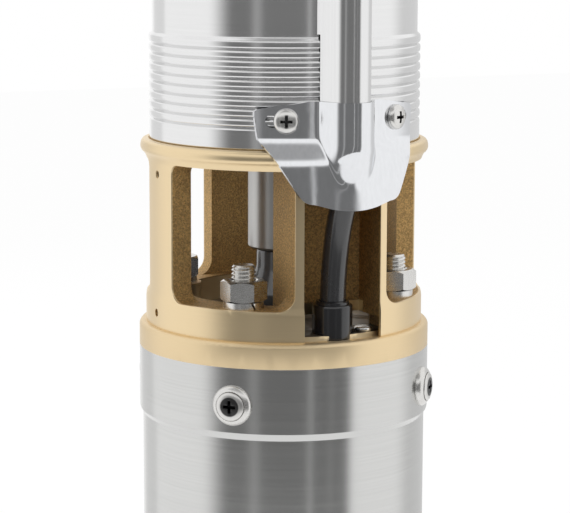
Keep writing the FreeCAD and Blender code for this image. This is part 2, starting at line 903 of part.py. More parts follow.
def impeller(low):
    """A closed wheel: eye neck, two shrouds, swept-back blades and a hexagon-bored hub."""
    foot = low + plate_wall + impeller_float
    top = foot + impeller_height
    neck = neck_radius()
    lower = turned(
        (eye_radius, low + 0.3), (neck, low + 0.3), (neck, foot), (impeller_radius, foot),
        (impeller_radius, foot + shroud_wall), (neck, foot + shroud_wall),
        ((eye_radius + 0.6, foot + shroud_wall * 0.6), (eye_radius, foot)),
    )
    upper = turned(
        (0, foot), (hub_radius - 2, foot), (hub_radius, foot + 4), (hub_radius + 1, top - 2 * shroud_wall),
        ((hub_radius + 2.2, top - 1.25 * shroud_wall), (hub_radius + 5, top - shroud_wall)),
        (impeller_radius, top - shroud_wall), (impeller_radius, top), (0, top),
    )
    vane = curved_vane(eye_radius + 1.5, impeller_radius - 0.2, 75, vane_wall,
                       foot + shroud_wall * 0.5, top - shroud_wall * 0.5)
    wheel = joined([lower, upper] + around(vane, impeller_vanes))
    return wheel.cut(hexagon(hex_across_flats, low, top + 1))


def sleeve(low, high):
    return disc(sleeve_radius, low, high).cut(hexagon(hex_across_flats, low, high))


def shaft_sleeves():
    """Spacers between the wheels, which also run in the two bushes."""
    clear = 0.1
    rest = plate_wall + impeller_float
    first = spigot_top - 2.0
    sleeves = [sleeve(first, stages_foot + rest - clear)]
    for i in range(stage_count - 1):
        low = stages_foot + i * stage_pitch + rest + impeller_height
        sleeves.append(sleeve(low + clear, low + stage_pitch - impeller_height - clear))
    last = stages_foot + (stage_count - 1) * stage_pitch + rest + impeller_height
    sleeves.append(sleeve(last + clear, top_spider_top + 1.0))
    return Part.makeCompound(sleeves)


def pump_shaft():
    low = face + coupling_foot + coupling_grip + 1.0
    high = top_spider_top + 1.0 + shaft_nut_height + 2.0
    return hexagon(hex_across_flats, low, high)


def shaft_nut():
    low = top_spider_top + 1.0
    body = hexagon(2 * shaft_nut_radius * math.cos(math.pi / 6), low, low + shaft_nut_height)
    return body.cut(hexagon(hex_across_flats, low, low + shaft_nut_height))


def shaft_coupling():
    low = face + coupling_foot
    top = low + coupling_length
    chamfer = 0.7
    body = turned((0, low), (coupling_radius - chamfer, low), (coupling_radius, low + chamfer),
                  (coupling_radius, top - chamfer), (coupling_radius - chamfer, top), (0, top))
    bore = disc(spline_radius + free_gap, low - 1, low + coupling_grip)
    body = body.cut(bore).cut(hexagon(hex_across_flats, low + coupling_grip - 1, top + 1))
    root = spline_radius - spline_depth + free_gap
    half = spline_groove_width / 2 - free_gap
    tip = spline_radius + free_gap + 0.3
    tooth = prism([(-0.8 * half, -root), (0.8 * half, -root), (half, -tip), (-half, -tip)],
                  low + chamfer, low + coupling_grip)
    return joined([body] + around(tooth, spline_teeth))


# Discharge head and check valve
def valve_deck_level():
    return casing_top + valve_deck


def discharge_head():
    collar = casing_bore - seat_gap
    inside = collar - head_spigot_wall
    deck = valve_deck_level()
    chamber_top = head_top - outlet_length - 3.0
    body = turned(
        (inside, top_spider_top), (collar, top_spider_top), (collar, casing_top),
        (casing_radius, casing_top),
        (casing_radius, casing_top + head_collar - 1), (casing_radius - 1, casing_top + head_collar),
        ((head_neck_radius + 4.2, casing_top + 0.66 * head_shoulder_top),
         (head_neck_radius, casing_top + head_shoulder_top)),
        (head_neck_radius, head_top - 1), (head_neck_radius - 1, head_top),
        (outlet_radius, head_top), (outlet_radius, head_top - outlet_length),
        (valve_chamber_radius, chamber_top), (valve_chamber_radius, deck), (valve_port_radius, deck),
        (valve_port_radius, deck - 3), (inside, casing_top),
    )
    cuts = []
    reach = 2 * head_neck_radius
    for side in (0, 180):
        cuts.append(spin(block(wrench_flats / 2, reach, -reach, reach, head_top - wrench_height,
                               head_top + 1), side))
    return body.cut(Part.makeCompound(cuts))


def valve_seat_ring():
    deck = valve_deck_level()
    return ring(valve_port_radius, valve_chamber_radius - 1, deck, deck + valve_seat_height)


def valve_poppet():
    low = valve_deck_level() + valve_seat_height
    disc_top = low + valve_disc_height
    port = valve_port_radius - free_gap - 0.5
    nose = low - valve_seat_height - 4
    return turned(
        (0, nose), (6, nose), (port, low), (valve_disc_radius, low), (valve_disc_radius, disc_top - 1),
        (valve_disc_radius - 1, disc_top), (valve_stem_radius, disc_top),
        (valve_stem_radius, disc_top + valve_stem_length), (0, disc_top + valve_stem_length),
    )


def valve_cage_level():
    return valve_deck_level() + valve_seat_height + valve_disc_height + valve_cage_drop


def valve_cage():
    low = valve_cage_level()
    outer = valve_chamber_radius - seat_gap
    rim = outer - 2.0
    parts = [ring(rim, outer, low, low + valve_cage_height),
             ring(valve_stem_radius + running_gap, valve_hub_radius, low - valve_hub_length / 2,
                  low + valve_hub_length / 2)]
    arm = block(-1.5, 1.5, -rim - 1, -valve_stem_radius - 2, low, low + valve_cage_height)
    return joined(parts + around(arm, valve_cage_arms))


def valve_spring():
    low = valve_deck_level() + valve_seat_height + valve_disc_height + 0.05
    high = valve_cage_level() - 0.05
    mean = valve_hub_radius + 1.0 + spring_wire_radius
    height = high - low - 2 * spring_wire_radius
    steps = int(spring_turns * spring_steps)
    points = []
    for i in range(steps + 1):
        x, y = at_angle(mean, 360.0 * i / spring_steps)
        points.append((x, y, low + spring_wire_radius + height * i / steps))
    return tube("valve_spring", points, spring_wire_radius)


# Paths of straight runs and tangent arcs, for bent sheet and for the lead
def bent_path(points, radii):
    """Edges through the points, each inner corner rounded by its own radius."""
    edges = []
    here = points[0]
    for before, corner, after, radius in zip(points, points[1:], points[2:], radii):
        back = (before - corner).normalize()
        ahead = (after - corner).normalize()
        half = back.getAngle(ahead) / 2
        cut_back = radius / math.tan(half)
        start = corner + back * cut_back
        end = corner + ahead * cut_back
        inward = (back + ahead).normalize()
        middle = corner + inward * (radius / math.sin(half) - radius)
        edges.append(Part.LineSegment(here, start).toShape())
        edges.append(Part.Arc(start, middle, end).toShape())
        here = end
    edges.append(Part.LineSegment(here, points[-1]).toShape())
    return edges


def largest_radii(points):
    """The largest arc at each inner corner that its two runs leave room for."""
    radii = []
    for before, corner, after in zip(points, points[1:], points[2:]):
        turn = math.pi - (before - corner).getAngle(after - corner)
        shorter = min((before - corner).Length, (after - corner).Length)
        radii.append(0.45 * shorter / math.tan(turn / 2))
    return radii


def tube(name, points, radius):
    """A round cord along its route; prints its tightest bend and checks its volume."""
    points = [Vector(*p) for p in points]
    radii = largest_radii(points)
    path = Part.Wire(bent_path(points, radii))
    along = (points[1] - points[0]).normalize()
    section = Part.Wire(Part.Circle(points[0], along, radius).toShape())
    solid = path.makePipeShell([section], True, False)
    share = solid.Volume / (math.pi * radius ** 2 * path.Length)
    print(name, "length %.0f" % path.Length, "volume share %.4f" % share)
    print(name, "bend radii", " ".join("%.0f" % r for r in radii))
    return solid


# Cable guard: a channel with sloped sides and a round crown, one thin pressing
def lead_line():
    """How far from the axis the lead runs under the guard, clear of the casing's ribs."""
    return casing_radius + rib_rise + lead_radius + free_gap


def guard_crown():
    return lead_line() + lead_radius + 2 * seat_gap + guard_wall


def guard_half(grow):
    """Foot, shoulder and crown of the guard's section, pushed out by a distance."""
    crown = guard_crown_radius + grow
    centre = guard_crown() - guard_crown_radius
    foot_x = guard_half_width + grow
    foot_y = casing_radius - 1.0
    run = math.hypot(foot_x, centre - foot_y)
    lean = math.asin(crown / run) + math.atan2(centre - foot_y, foot_x)
    shoulder = (crown * math.sin(lean), centre + crown * math.cos(lean))
    return [(foot_x, foot_y), shoulder, (0, centre + crown)]


def guard_section(grow, low, high):
    return crown_block(guard_half(grow), low).extrude(Vector(0, 0, high - low))


def crown_block(half, level):
    """Face of a symmetric hump at the slot's side, from its foot, shoulder and crown points."""
    left = [Vector(-x, -y, level) for x, y in half]
    right = [Vector(x, -y, level) for x, y in reversed(half)]
    a, b, c, d, e = left + right[1:]
    edges = [Part.LineSegment(a, b).toShape(), Part.Arc(b, c, d).toShape(),
             Part.LineSegment(d, e).toShape(), Part.LineSegment(e, a).toShape()]
    return Part.Face(Part.Wire(edges))


def cable_guard():
    low = rim_top + guard_foot
    high = guard_top
    ribs_top = rim_top + rib_start + rib_count * rib_pitch + 1
    channel = guard_section(0, low, high).cut(guard_section(-guard_wall, low, high))
    channel = channel.cut(disc(casing_radius + rib_rise + 2 * seat_gap, low, ribs_top))
    return channel.cut(disc(casing_radius + seat_gap, low, high))


def guard_strap():
    """A thin band with a crown over the guard's top, held to the casing by a screw at each side."""
    low = strap_middle - strap_height / 2
    high = low + strap_height
    band = ring(casing_radius + seat_gap, casing_radius + clamp_wall, low, high)
    reach = 2 * casing_radius
    sector = prism([(0, 0), at_angle(reach, -clamp_ear_angle), at_angle(reach, clamp_ear_angle)], low, high)
    outside = guard_section(2 * seat_gap + clamp_wall, low, high)
    strap = band.common(sector).fuse(outside).cut(guard_section(2 * seat_gap, low, high))
    strap = strap.cut(disc(casing_radius + seat_gap, low, high))
    return strap.cut(Part.makeCompound(guard_screw_holes(strap_middle))).removeSplitter()


# Guard clamp: ears on the casing, a step out over the bracket's rim, a lip and a crown for the guard
def clamp_levels():
    top = rim_top + clamp_top
    step_top = top - clamp_ear_height
    return top, step_top, step_top - clamp_step_height, rim_top - clamp_drop


def clamp_ear_radius():
    return casing_radius + rib_rise + 2 * seat_gap


def clamp_line(shift):
    """The plate's section in radius and height from the ears' top to the lip, pushed outwards."""
    top, step_top, step_low, low = clamp_levels()
    ear = clamp_ear_radius() + shift
    out = ear + clamp_step_out
    points = [Vector(ear, 0, top), Vector(ear, 0, step_top), Vector(out, 0, step_low),
              Vector(out + clamp_lip_out, 0, low)]
    return points, [clamp_bend + shift, clamp_bend + clamp_wall - shift]


def clamp_sheet():
    inner = bent_path(*clamp_line(0))
    outer = bent_path(*clamp_line(clamp_wall))
    tops = Part.LineSegment(clamp_line(0)[0][0], clamp_line(clamp_wall)[0][0]).toShape()
    lips = Part.LineSegment(clamp_line(0)[0][-1], clamp_line(clamp_wall)[0][-1]).toShape()
    wire = Part.Wire(Part.__sortEdges__(inner + outer + [tops, lips]))
    return Part.Face(wire).revolve(Vector(0, 0, 0), Vector(0, 0, 1), 360)


def clamp_inside():
    """All that lies inside the plate, which the crown must not fill."""
    top, _, _, low = clamp_levels()
    points, radii = clamp_line(0)
    corners = [Vector(0, 0, low), Vector(0, 0, top)]
    edges = bent_path(points, radii)
    edges.append(Part.LineSegment(points[-1], corners[0]).toShape())
    edges.append(Part.LineSegment(corners[0], corners[1]).toShape())
    edges.append(Part.LineSegment(corners[1], points[0]).toShape())
    wire = Part.Wire(Part.__sortEdges__(edges))
    return Part.Face(wire).revolve(Vector(0, 0, 0), Vector(0, 0, 1), 360)


def clamp_blank():
    """The plate's outline seen from the slot's side, as a block that trims it."""
    top, step_top, _, low = clamp_levels()
    ear = clamp_ear_radius()
    lip = ear + clamp_step_out + clamp_lip_out
    ear_x = ear * math.sin(math.radians(clamp_ear_angle))
    corner_x = lip * math.sin(math.radians(clamp_corner_angle))
    ear_top = top - clamp_ear_fall
    corner = low + clamp_corner_rise
    right = [Vector(clamp_top_half, 0, top), Vector(ear_x, 0, ear_top),
             Vector(ear_x - clamp_ear_taper, 0, step_top), Vector(corner_x, 0, corner)]
    left = [Vector(-p.x, 0, p.z) for p in reversed(right)]
    runs = list(zip(right, right[1:])) + list(zip(left, left[1:])) + [(left[-1], right[0])]
    edges = [Part.LineSegment(a, b).toShape() for a, b in runs]
    edges.append(Part.Arc(right[-1], Vector(0, 0, low), left[0]).toShape())
    blank = Part.Face(Part.Wire(Part.__sortEdges__(edges))).extrude(Vector(0, -2 * lip, 0))

    def corner_edges(level):
        return [e for e in blank.Edges
                if abs(e.BoundBox.YLength - 2 * lip) < 0.1 and abs(e.BoundBox.ZMin - level) < 0.1]

    blank = blank.makeFillet(clamp_corner_round, corner_edges(corner))
    return blank.makeFillet(clamp_ear_round, corner_edges(ear_top))


def clamp_crown(grow):
    """The hump over the guard: straight over its foot, then sinking into the lip as a rounded tip."""
    top, _, _, low = clamp_levels()
    tip = clamp_ear_radius() + clamp_step_out + clamp_lip_out + clamp_wall
    wide = guard_half_width + grow
    waist = rim_top + guard_foot - free_gap
    shoulder = tip - clamp_tip_sink + grow
    tip_half = [(wide * 0.55, casing_radius), (wide * 0.28, shoulder), (0, shoulder + clamp_tip_rise)]
    lower = Part.makeLoft([crown_block(guard_half(grow), waist).OuterWire,
                           crown_block(tip_half, low).OuterWire], True, True)
    upper = guard_section(grow, waist, top)
    return upper.fuse(lower)


def clamp_slot(side):
    """Cutter for the slot that one of the clamp's screws sits in, bent round the casing."""
    third = clamp_slot_length / 3
    step = math.degrees(third / casing_radius)
    wide = clamp_screw_radius + seat_gap
    level = rim_top + clamp_screw_rise
    middle = side * (clamp_screw_angle + step)
    bar = facing(block(-third, third, -wide, wide, -4, 8), casing_radius, middle, level)
    ends = [facing(disc(wide, -4, 8), casing_radius, side * (clamp_screw_angle + i * step), level)
            for i in range(3)]
    return [bar] + ends


def guard_clamp():
    gap = 2 * seat_gap
    plate = clamp_sheet().common(clamp_blank())
    hump = clamp_crown(gap + clamp_wall).cut(clamp_inside())
    plate = plate.fuse(hump).cut(clamp_crown(gap))
    return plate.cut(Part.makeCompound(clamp_slot(-1) + clamp_slot(1))).removeSplitter()


def guard_screws():
    """Pan-head screws with cross recesses, two in the clamp and two in the strap."""
    placed = []
    shank = clamp_screw_radius - seat_gap
    head = clamp_screw_head
    on_clamp = (rib_rise + 2 * seat_gap + clamp_wall, rim_top + clamp_screw_rise)
    on_strap = (clamp_wall, strap_middle)
    for seat, level in (on_clamp, on_strap):
        screw = turned(
            (0, -guard_screw_length), (shank, -guard_screw_length), (shank, seat), (head, seat),
            (head, seat + 0.9), ((head * 0.72, seat + 2.0), (0, seat + 2.4)),
        )
        screw = screw.cut(cross_recess(head * 1.1, 1.5, seat + 2.4))
        placed += [facing(screw, casing_radius, a, level) for a in (-clamp_screw_angle, clamp_screw_angle)]
    return Part.makeCompound(placed)


# Motor lead: held from the connector to the guard's top, then loose to a coil behind the pump
def lead_held():
    line = -lead_line()
    side = connector_shift
    return [
        (side, -stud_circle_radius, face + connector_rise - connector_mouth),
        (-0.8, -stud_circle_radius - 0.1, face + 29.1),
        (0.2, line, face + 56.0),
        (0.0, line, face + 76.0),
    ]


def lead_loose():
    """Over the shoulder of the head, down the back and out along the floor to the coil."""
    return [
        (0.0, -lead_line(), guard_top),
        (0.3, -49.5, 592.0), (11.1, -56.8, 618.7), (23.8, -55.9, 649.2), (37.2, -39.6, 670.3),
        (48.0, -12.9, 677.9), (52.7, 15.3, 669.6), (51.1, 35.3, 647.5), (43.0, 41.1, 613.3),
        (33.9, 46.4, 576.0), (21.8, 53.4, 526.8), (8.0, 61.5, 470.0), (5.8, 61.0, 405.0),
        (5.6, 60.4, 345.0), (6.4, 60.4, 290.0), (8.6, 61.2, 236.0), (13.2, 63.0, 188.0),
        (19.8, 66.0, 145.0), (27.6, 70.5, 108.0), (35.0, 76.5, 77.0), (41.2, 84.5, 51.5),
        (45.6, 96.0, 31.0), (47.4, 111.0, 18.5), (47.6, 128.0, 12.6),
    ]


def lead_coil():
    """Outer form of three turns of the lead, lying on the floor behind the pump."""
    inner = coil_radius - 2.05 * lead_radius
    outer = coil_radius + 2.05 * lead_radius
    high = 4.05 * lead_radius
    bend = lead_radius
    body = turned(
        (inner, bend), ((inner + 0.3 * bend, 0.3 * bend), (inner + bend, 0)), (outer - bend, 0),
        ((outer - 0.3 * bend, 0.3 * bend), (outer, bend)), (outer, high - 2 * bend),
        (coil_radius + bend, high), (coil_radius - bend, high), (inner, high - 2 * bend),
    )
    return moved(body, lead_loose()[-1][0] - coil_radius, lead_loose()[-1][1])


os.makedirs("parts", exist_ok=True)
upper_bearing_low = face - upper_bearing_depth - bearing_width
pieces = {
    "motor_shell": motor_shell(),
    "end_retaining_ring": end_retaining_ring(),
    "motor_end_cap": end_cap(),
    "pressure_diaphragm": diaphragm(),
    "motor_lower_bracket": lower_bracket(),
    "motor_top_bracket": motor_top_bracket(),
    "oil_filler_screw": oil_filler_screw(),
    "cable_connector": cable_connector(),
    "upper_bearing_outer_ring": bearing_outer_ring(upper_bearing_low),
    "upper_bearing_inner_ring": bearing_inner_ring(upper_bearing_low),
    "upper_bearing_balls": bearing_balls(upper_bearing_low),
    "lower_bearing_outer_ring": bearing_outer_ring(lower_bearing_height),
    "lower_bearing_inner_ring": bearing_inner_ring(lower_bearing_height),
    "lower_bearing_balls": bearing_balls(lower_bearing_height),
    "stator_core": stator_core(),
    "stator_windings": stator_windings(),
    "rotor_core": rotor_core(),
    "rotor_cage": rotor_cage(),
    "motor_shaft": motor_shaft(),
    "shaft_seal_seat": shaft_seal_seat(),
    "seal_rotor": seal_rotor(),
    "sand_slinger": sand_slinger(),
    "flange_studs": flange_studs(),
    "flange_nuts": flange_nuts(),
    "spring_washers": spring_washers(),
    "shell_screws": shell_screws(),
    "cup_washers": cup_washers(),
    "suction_bracket": suction_bracket(),
    "inlet_spider": spider(spigot_top, stages_foot),
    "inlet_bush": bush(spigot_top, stages_foot),
    "pump_casing": pump_casing(),
    "neck_rings": Part.makeCompound([neck_ring(stages_foot + i * stage_pitch) for i in range(stage_count)]),
    "top_spider": spider(stages_top, top_spider_top).cut(
        Part.makeCompound(guard_screw_holes(strap_middle))),
    "top_bush": bush(stages_top, top_spider_top),
    "pump_shaft": pump_shaft(),
    "shaft_coupling": shaft_coupling(),
    "shaft_sleeves": shaft_sleeves(),
    "shaft_nut": shaft_nut(),
    "discharge_head": discharge_head(),
    "valve_seat_ring": valve_seat_ring(),
    "valve_poppet": valve_poppet(),
    "valve_cage": valve_cage(),
    "valve_spring": valve_spring(),
    "cable_guard": cable_guard(),
    "guard_strap": guard_strap(),
    "guard_clamp": guard_clamp(),
    "guard_screws": guard_screws(),
    "motor_lead": tube("motor_lead", lead_held() + [(0.0, -lead_line(), guard_top)], lead_radius),
    "lead_tail": tube("lead_tail", lead_loose(), lead_radius),
    "lead_coil": lead_coil(),
}
for number in range(stage_count):
    stage_foot = stages_foot + number * stage_pitch
    pieces["diffuser_%d" % (number + 1)] = diffuser(stage_foot)
    pieces["impeller_%d" % (number + 1)] = impeller(stage_foot)
for name, shape in pieces.items():
    save(name, shape)
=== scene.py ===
"""Looks of the borehole submersible pump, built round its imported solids."""

import json
import math

import bpy
from mathutils import Matrix, Vector


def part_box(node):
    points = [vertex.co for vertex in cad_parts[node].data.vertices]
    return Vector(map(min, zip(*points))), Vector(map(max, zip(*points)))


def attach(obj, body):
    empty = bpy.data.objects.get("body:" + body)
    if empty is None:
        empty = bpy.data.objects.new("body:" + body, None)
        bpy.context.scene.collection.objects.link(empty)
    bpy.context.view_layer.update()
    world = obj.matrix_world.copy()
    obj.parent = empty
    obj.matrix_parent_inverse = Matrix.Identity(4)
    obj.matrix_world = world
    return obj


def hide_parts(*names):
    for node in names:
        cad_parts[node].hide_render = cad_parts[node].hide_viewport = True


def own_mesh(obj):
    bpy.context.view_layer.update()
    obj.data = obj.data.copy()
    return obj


bl_info = {
    "name": "Borehole pump looks",
    "version": (1, 0, 0),
    "blender": (4, 5, 0),
    "location": "View3D > Sidebar > Pump",
    "description": "Dresses the packed solids of a borehole submersible pump",
    "category": "Object",
}

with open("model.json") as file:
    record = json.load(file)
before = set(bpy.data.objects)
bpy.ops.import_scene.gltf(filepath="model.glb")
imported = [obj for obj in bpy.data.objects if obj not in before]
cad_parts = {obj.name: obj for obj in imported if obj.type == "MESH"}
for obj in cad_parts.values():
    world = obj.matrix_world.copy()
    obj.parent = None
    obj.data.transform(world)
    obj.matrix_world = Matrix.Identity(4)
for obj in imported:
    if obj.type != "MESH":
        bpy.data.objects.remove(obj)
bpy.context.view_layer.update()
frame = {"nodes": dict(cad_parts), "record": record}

MM = 0.001
FULL_TURN = 2 * math.pi

# Levels in millimetres, read from the solids
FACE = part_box("suction_bracket")[0].z / MM
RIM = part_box("pump_casing")[0].z / MM
CASING_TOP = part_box("pump_casing")[1].z / MM
SHELL_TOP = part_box("motor_shell")[1].z / MM
GUARD_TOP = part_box("cable_guard")[1].z / MM
STRAP = (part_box("guard_strap")[0].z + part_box("guard_strap")[1].z) / 2 / MM
SHELF = FACE + 9.8  # top of the bracket's flange
ROOF = FACE + 54.2  # top of the bracket's windows
CLAMP_SCREWS = RIM + 9.4
SHELL_SCREWS = FACE - 20

# Radii and heights in millimetres, and the bearing of the guard's screws in degrees
STUD_CIRCLE = 38.1
SHELL_WALL = 48.15
BRACKET_WALL = 45.3
CASING_WALL = 43.5
HUG = 43.55  # guard and strap against the casing
BORE = 33.5
WASHER_HEIGHT = 2.1
NUT_HEIGHT = 6.8
SIDE_SCREWS = 24.7

# The guard's two pairs of screws: level, and height of the seat over the casing's wall
SCREW_SEATS = ((CLAMP_SCREWS, 2.1), (STRAP, 1.0))


# Sizes and colours that a user would change
def length(name, about, size):
    return bpy.props.FloatProperty(name=name, description=about, default=size * MM, min=0.0,
                                   subtype="DISTANCE", unit="LENGTH")


def colour(name, about, red, green, blue):
    return bpy.props.FloatVectorProperty(name=name, description=about, default=(red, green, blue),
                                         min=0.0, max=1.0, size=3, subtype="COLOR")


def share(name, about, value):
    return bpy.props.FloatProperty(name=name, description=about, default=value, min=0.0, max=1.0,
                                   subtype="FACTOR")


class PUMP_PG_steel(bpy.types.PropertyGroup):
    """Colours and gloss of the stainless parts."""

    casing: colour("Casing", "Polished pump casing and cable guard", 0.80, 0.80, 0.80)
    shell: colour("Motor shell", "Brushed motor shell", 0.64, 0.64, 0.63)
    clamp: colour("Clamp", "Bright pressed clamp and strap", 0.80, 0.81, 0.83)
    fastener: colour("Fasteners", "Nuts, studs, washers and screws", 0.74, 0.73, 0.71)
    casing_roughness: share("Casing roughness", "How blurred the casing's reflections are", 0.17)
    shell_roughness: share("Shell roughness", "How blurred the shell's reflections are", 0.19)


class PUMP_PG_brass(bpy.types.PropertyGroup):
    """Colours of the brass castings."""

    machined: colour("Machined", "Turned outer faces", 0.84, 0.67, 0.42)
    cast: colour("Cast", "Rough faces left by the mould", 0.58, 0.38, 0.16)
    grain: length("Grain", "Size of the casting's grain", 0.6)


class PUMP_PG_rubber(bpy.types.PropertyGroup):
    """Colours of rubber and plastic."""

    lead: colour("Lead", "Motor lead's sheath", 0.010, 0.010, 0.011)
    connector: colour("Connector", "Moulded cable connector", 0.006, 0.006, 0.007)
    stage: colour("Stages", "Diffusers and spiders", 0.055, 0.057, 0.060)
    impeller: colour("Impellers", "Impellers and valve", 0.62, 0.60, 0.54)


class PUMP_PG_sizes(bpy.types.PropertyGroup):
    """Sizes of the pieces made here."""

    lead_radius: length("Lead radius", "Radius of the motor lead", 4.15)
    coil_radius: length("Coil radius", "Middle radius of the lead's coil", 47.6)
    clamp_sheet: length("Clamp sheet", "Thickness of the pressed clamp", 1.0)
    thread_pitch: length("Thread pitch", "Pitch of the flange studs", 1.25)
    edge: length("Edge", "Rounding of the machined edges", 0.35)


# Modelling by hand, as short steps
def clear():
    """Leaves edit mode and deselects everything."""
    if bpy.context.object and bpy.context.object.mode != "OBJECT":
        bpy.ops.object.mode_set(mode="OBJECT")
    bpy.ops.object.select_all(action="DESELECT")


def pick(piece):
    """Makes one piece the only selected one, in object mode."""
    clear()
    piece.select_set(True)
    bpy.context.view_layer.objects.active = piece


def edit(piece, kind="VERT"):
    pick(piece)
    bpy.ops.object.mode_set(mode="EDIT")
    bpy.ops.mesh.select_mode(type=kind)


def named(name):
    piece = bpy.context.object
    piece.name = name
    piece.data.name = name
    return piece


def trace(name, points):
    """Draws a chain of edges by extruding one vertex on from point to point."""
    clear()
    bpy.ops.mesh.primitive_plane_add(size=MM)
    piece = named(name)
    edit(piece)
    bpy.ops.mesh.merge(type="CENTER")
    here = Vector(points[0])
    bpy.ops.transform.translate(value=here)
    for point in points[1:]:
        step = Vector(point) - here
        bpy.ops.mesh.extrude_region_move(TRANSFORM_OT_translate={"value": step})
        here = Vector(point)
    return piece


def tidy_mesh():
    """Closes seams and turns the faces outwards; the piece is in edit mode."""
    bpy.ops.mesh.select_all(action="SELECT")
    bpy.ops.mesh.remove_doubles(threshold=0.002 * MM)
    bpy.ops.mesh.normals_make_consistent(inside=False)
    bpy.ops.object.mode_set(mode="OBJECT")


def turned(name, profile, steps):
    """Spins a closed outline of radii and heights, in millimetres, about the shaft axis."""
    outline = [(r * MM, 0, z * MM) for r, z in profile]
    piece = trace(name, outline + outline[:1])
    bpy.ops.mesh.select_all(action="SELECT")
    bpy.ops.mesh.spin(steps=steps, angle=FULL_TURN, center=(0, 0, 0), axis=(0, 0, 1))
    tidy_mesh()
    return piece


def slab(name, outline, low, high):
    """Raises a flat outline of (x, y) corners, in millimetres, between two levels."""
    corners = [(x * MM, y * MM, low * MM) for x, y in outline]
    piece = trace(name, corners + corners[:1])
    bpy.ops.mesh.select_all(action="SELECT")
    bpy.ops.mesh.remove_doubles(threshold=0.002 * MM)
    bpy.ops.mesh.edge_face_add()
    bpy.ops.mesh.extrude_region_move(TRANSFORM_OT_translate={"value": (0, 0, (high - low) * MM)})
    tidy_mesh()
    return piece


def rod(name, radius, low, high, steps=48):
    return turned(name, [(0, low), (radius, low), (radius, high), (0, high)], steps)


def block(name, half, near, far, low, high):
    """A box that is even on both sides of x = 0."""
    return slab(name, [(-half, near), (half, near), (half, far), (-half, far)], low, high)


def modify(piece, kind, **settings):
    modifier = piece.modifiers.new(kind.title(), kind)
    for key, value in settings.items():
        setattr(modifier, key, value)
    pick(piece)
    bpy.ops.object.modifier_apply(modifier=modifier.name)
    return piece


def soften(piece, width, segments=2, angle=30):
    return modify(piece, "BEVEL", width=width * MM, segments=segments, limit_method="ANGLE",
                  angle_limit=math.radians(angle), miter_outer="MITER_ARC", use_clamp_overlap=True)


def carve(piece, *tools, operation="DIFFERENCE", folded=False):
    """Cuts, joins or trims a piece by others; a folded sheet may cross itself."""
    for tool in tools:
        modify(piece, "BOOLEAN", object=tool, operation=operation, solver="EXACT", use_self=folded)
        bpy.data.objects.remove(tool, do_unlink=True)
    return piece


def settle(piece, matrix):
    """Places a piece and bakes its place into its mesh."""
    piece.matrix_world = matrix
    pick(piece)
    bpy.ops.object.transform_apply(location=True, rotation=True, scale=True)
    return piece


def turn_z(angle):
    return Matrix.Rotation(math.radians(angle), 4, "Z")


def shift(x=0.0, y=0.0, z=0.0):
    return Matrix.Translation((x * MM, y * MM, z * MM))


def facing(radius, angle, level):
    """The place of a piece that was made along Z and stands out from a round wall."""
    return turn_z(angle) @ shift(0, -radius, level) @ Matrix.Rotation(math.radians(90), 4, "X")


def twin(piece):
    """A copy with a mesh of its own."""
    copy = piece.copy()
    copy.data = piece.data.copy()
    bpy.context.collection.objects.link(copy)
    return copy


def copies(piece, places):
    """Puts copies of a piece, each with its own mesh, at several places and joins them."""
    made = [settle(twin(piece), place) for place in places]
    name = piece.name
    bpy.data.objects.remove(piece, do_unlink=True)
    return join(name, made)


def join(name, pieces):
    pick(pieces[0])
    for piece in pieces[1:]:
        piece.select_set(True)
    if len(pieces) > 1:
        bpy.ops.object.join()
    return named(name)


def rods(name, radius, low, high, places, steps=48):
    """Round tools, each at its own place."""
    return [settle(rod(name, radius, low, high, steps), place) for place in places]


def stud_places():
    return [turn_z(45 + 90 * i) @ shift(0, -STUD_CIRCLE) for i in range(4)]


def shell_screw_places(radius=SHELL_WALL):
    return [facing(radius, 45 + 90 * i, SHELL_SCREWS) for i in range(4)]


def guard_screw_places(*levels):
    return [facing(CASING_WALL, side * SIDE_SCREWS, level) for side in (1, -1) for level in levels]


def dress(piece, slot, finish=None, body="pump_body", angle=32, node=None):
    """Gives a finished piece smooth shading, the material of its slot or finish and its body, and hides
    the solid it stands for.
    """
    pick(piece)
    bpy.ops.object.shade_smooth_by_angle(angle=math.radians(angle))
    modify(piece, "WEIGHTED_NORMAL", keep_sharp=True)
    piece.data.materials.clear()
    piece.data.materials.append(finishes[finish or slot])
    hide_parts(node or piece.name.replace("_piece", ""))
    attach(piece, body)
    return piece


def copy_of(node):
    """A merged copy of a solid's mesh, for the pieces whose solids have the right shape."""
    source = frame["nodes"][node]
    piece = twin(source)
    for key in list(piece.keys()):
        del piece[key]
    piece.parent = None
    piece.matrix_world = source.matrix_world
    piece.name = node + "_piece"
    edit(piece)
    tidy_mesh()
    return piece


# Shader maths
def arithmetic(operation):
    return lambda wire, other: wire.math(operation, wire, other)


class Wire:
    """An output socket that reads as a number or colour in plain arithmetic."""

    def __init__(self, nodes, socket):
        self.nodes = nodes
        self.socket = socket

    def math(self, operation, first, second):
        return self.nodes.node("ShaderNodeMath", {"operation": operation}, {0: first, 1: second})

    __add__ = __radd__ = arithmetic("ADD")
    __sub__ = arithmetic("SUBTRACT")
    __mul__ = __rmul__ = arithmetic("MULTIPLY")
    __pow__ = arithmetic("POWER")
    most = arithmetic("MAXIMUM")

    def __rsub__(self, other):
        return self.math("SUBTRACT", other, self)

    def between(self, low, high):
        """Goes from 0 at low to 1 at high, with soft ends."""
        return self.nodes.node("ShaderNodeMapRange", {"interpolation_type": "SMOOTHSTEP"},
                               {"Value": self, "From Min": low, "From Max": high})


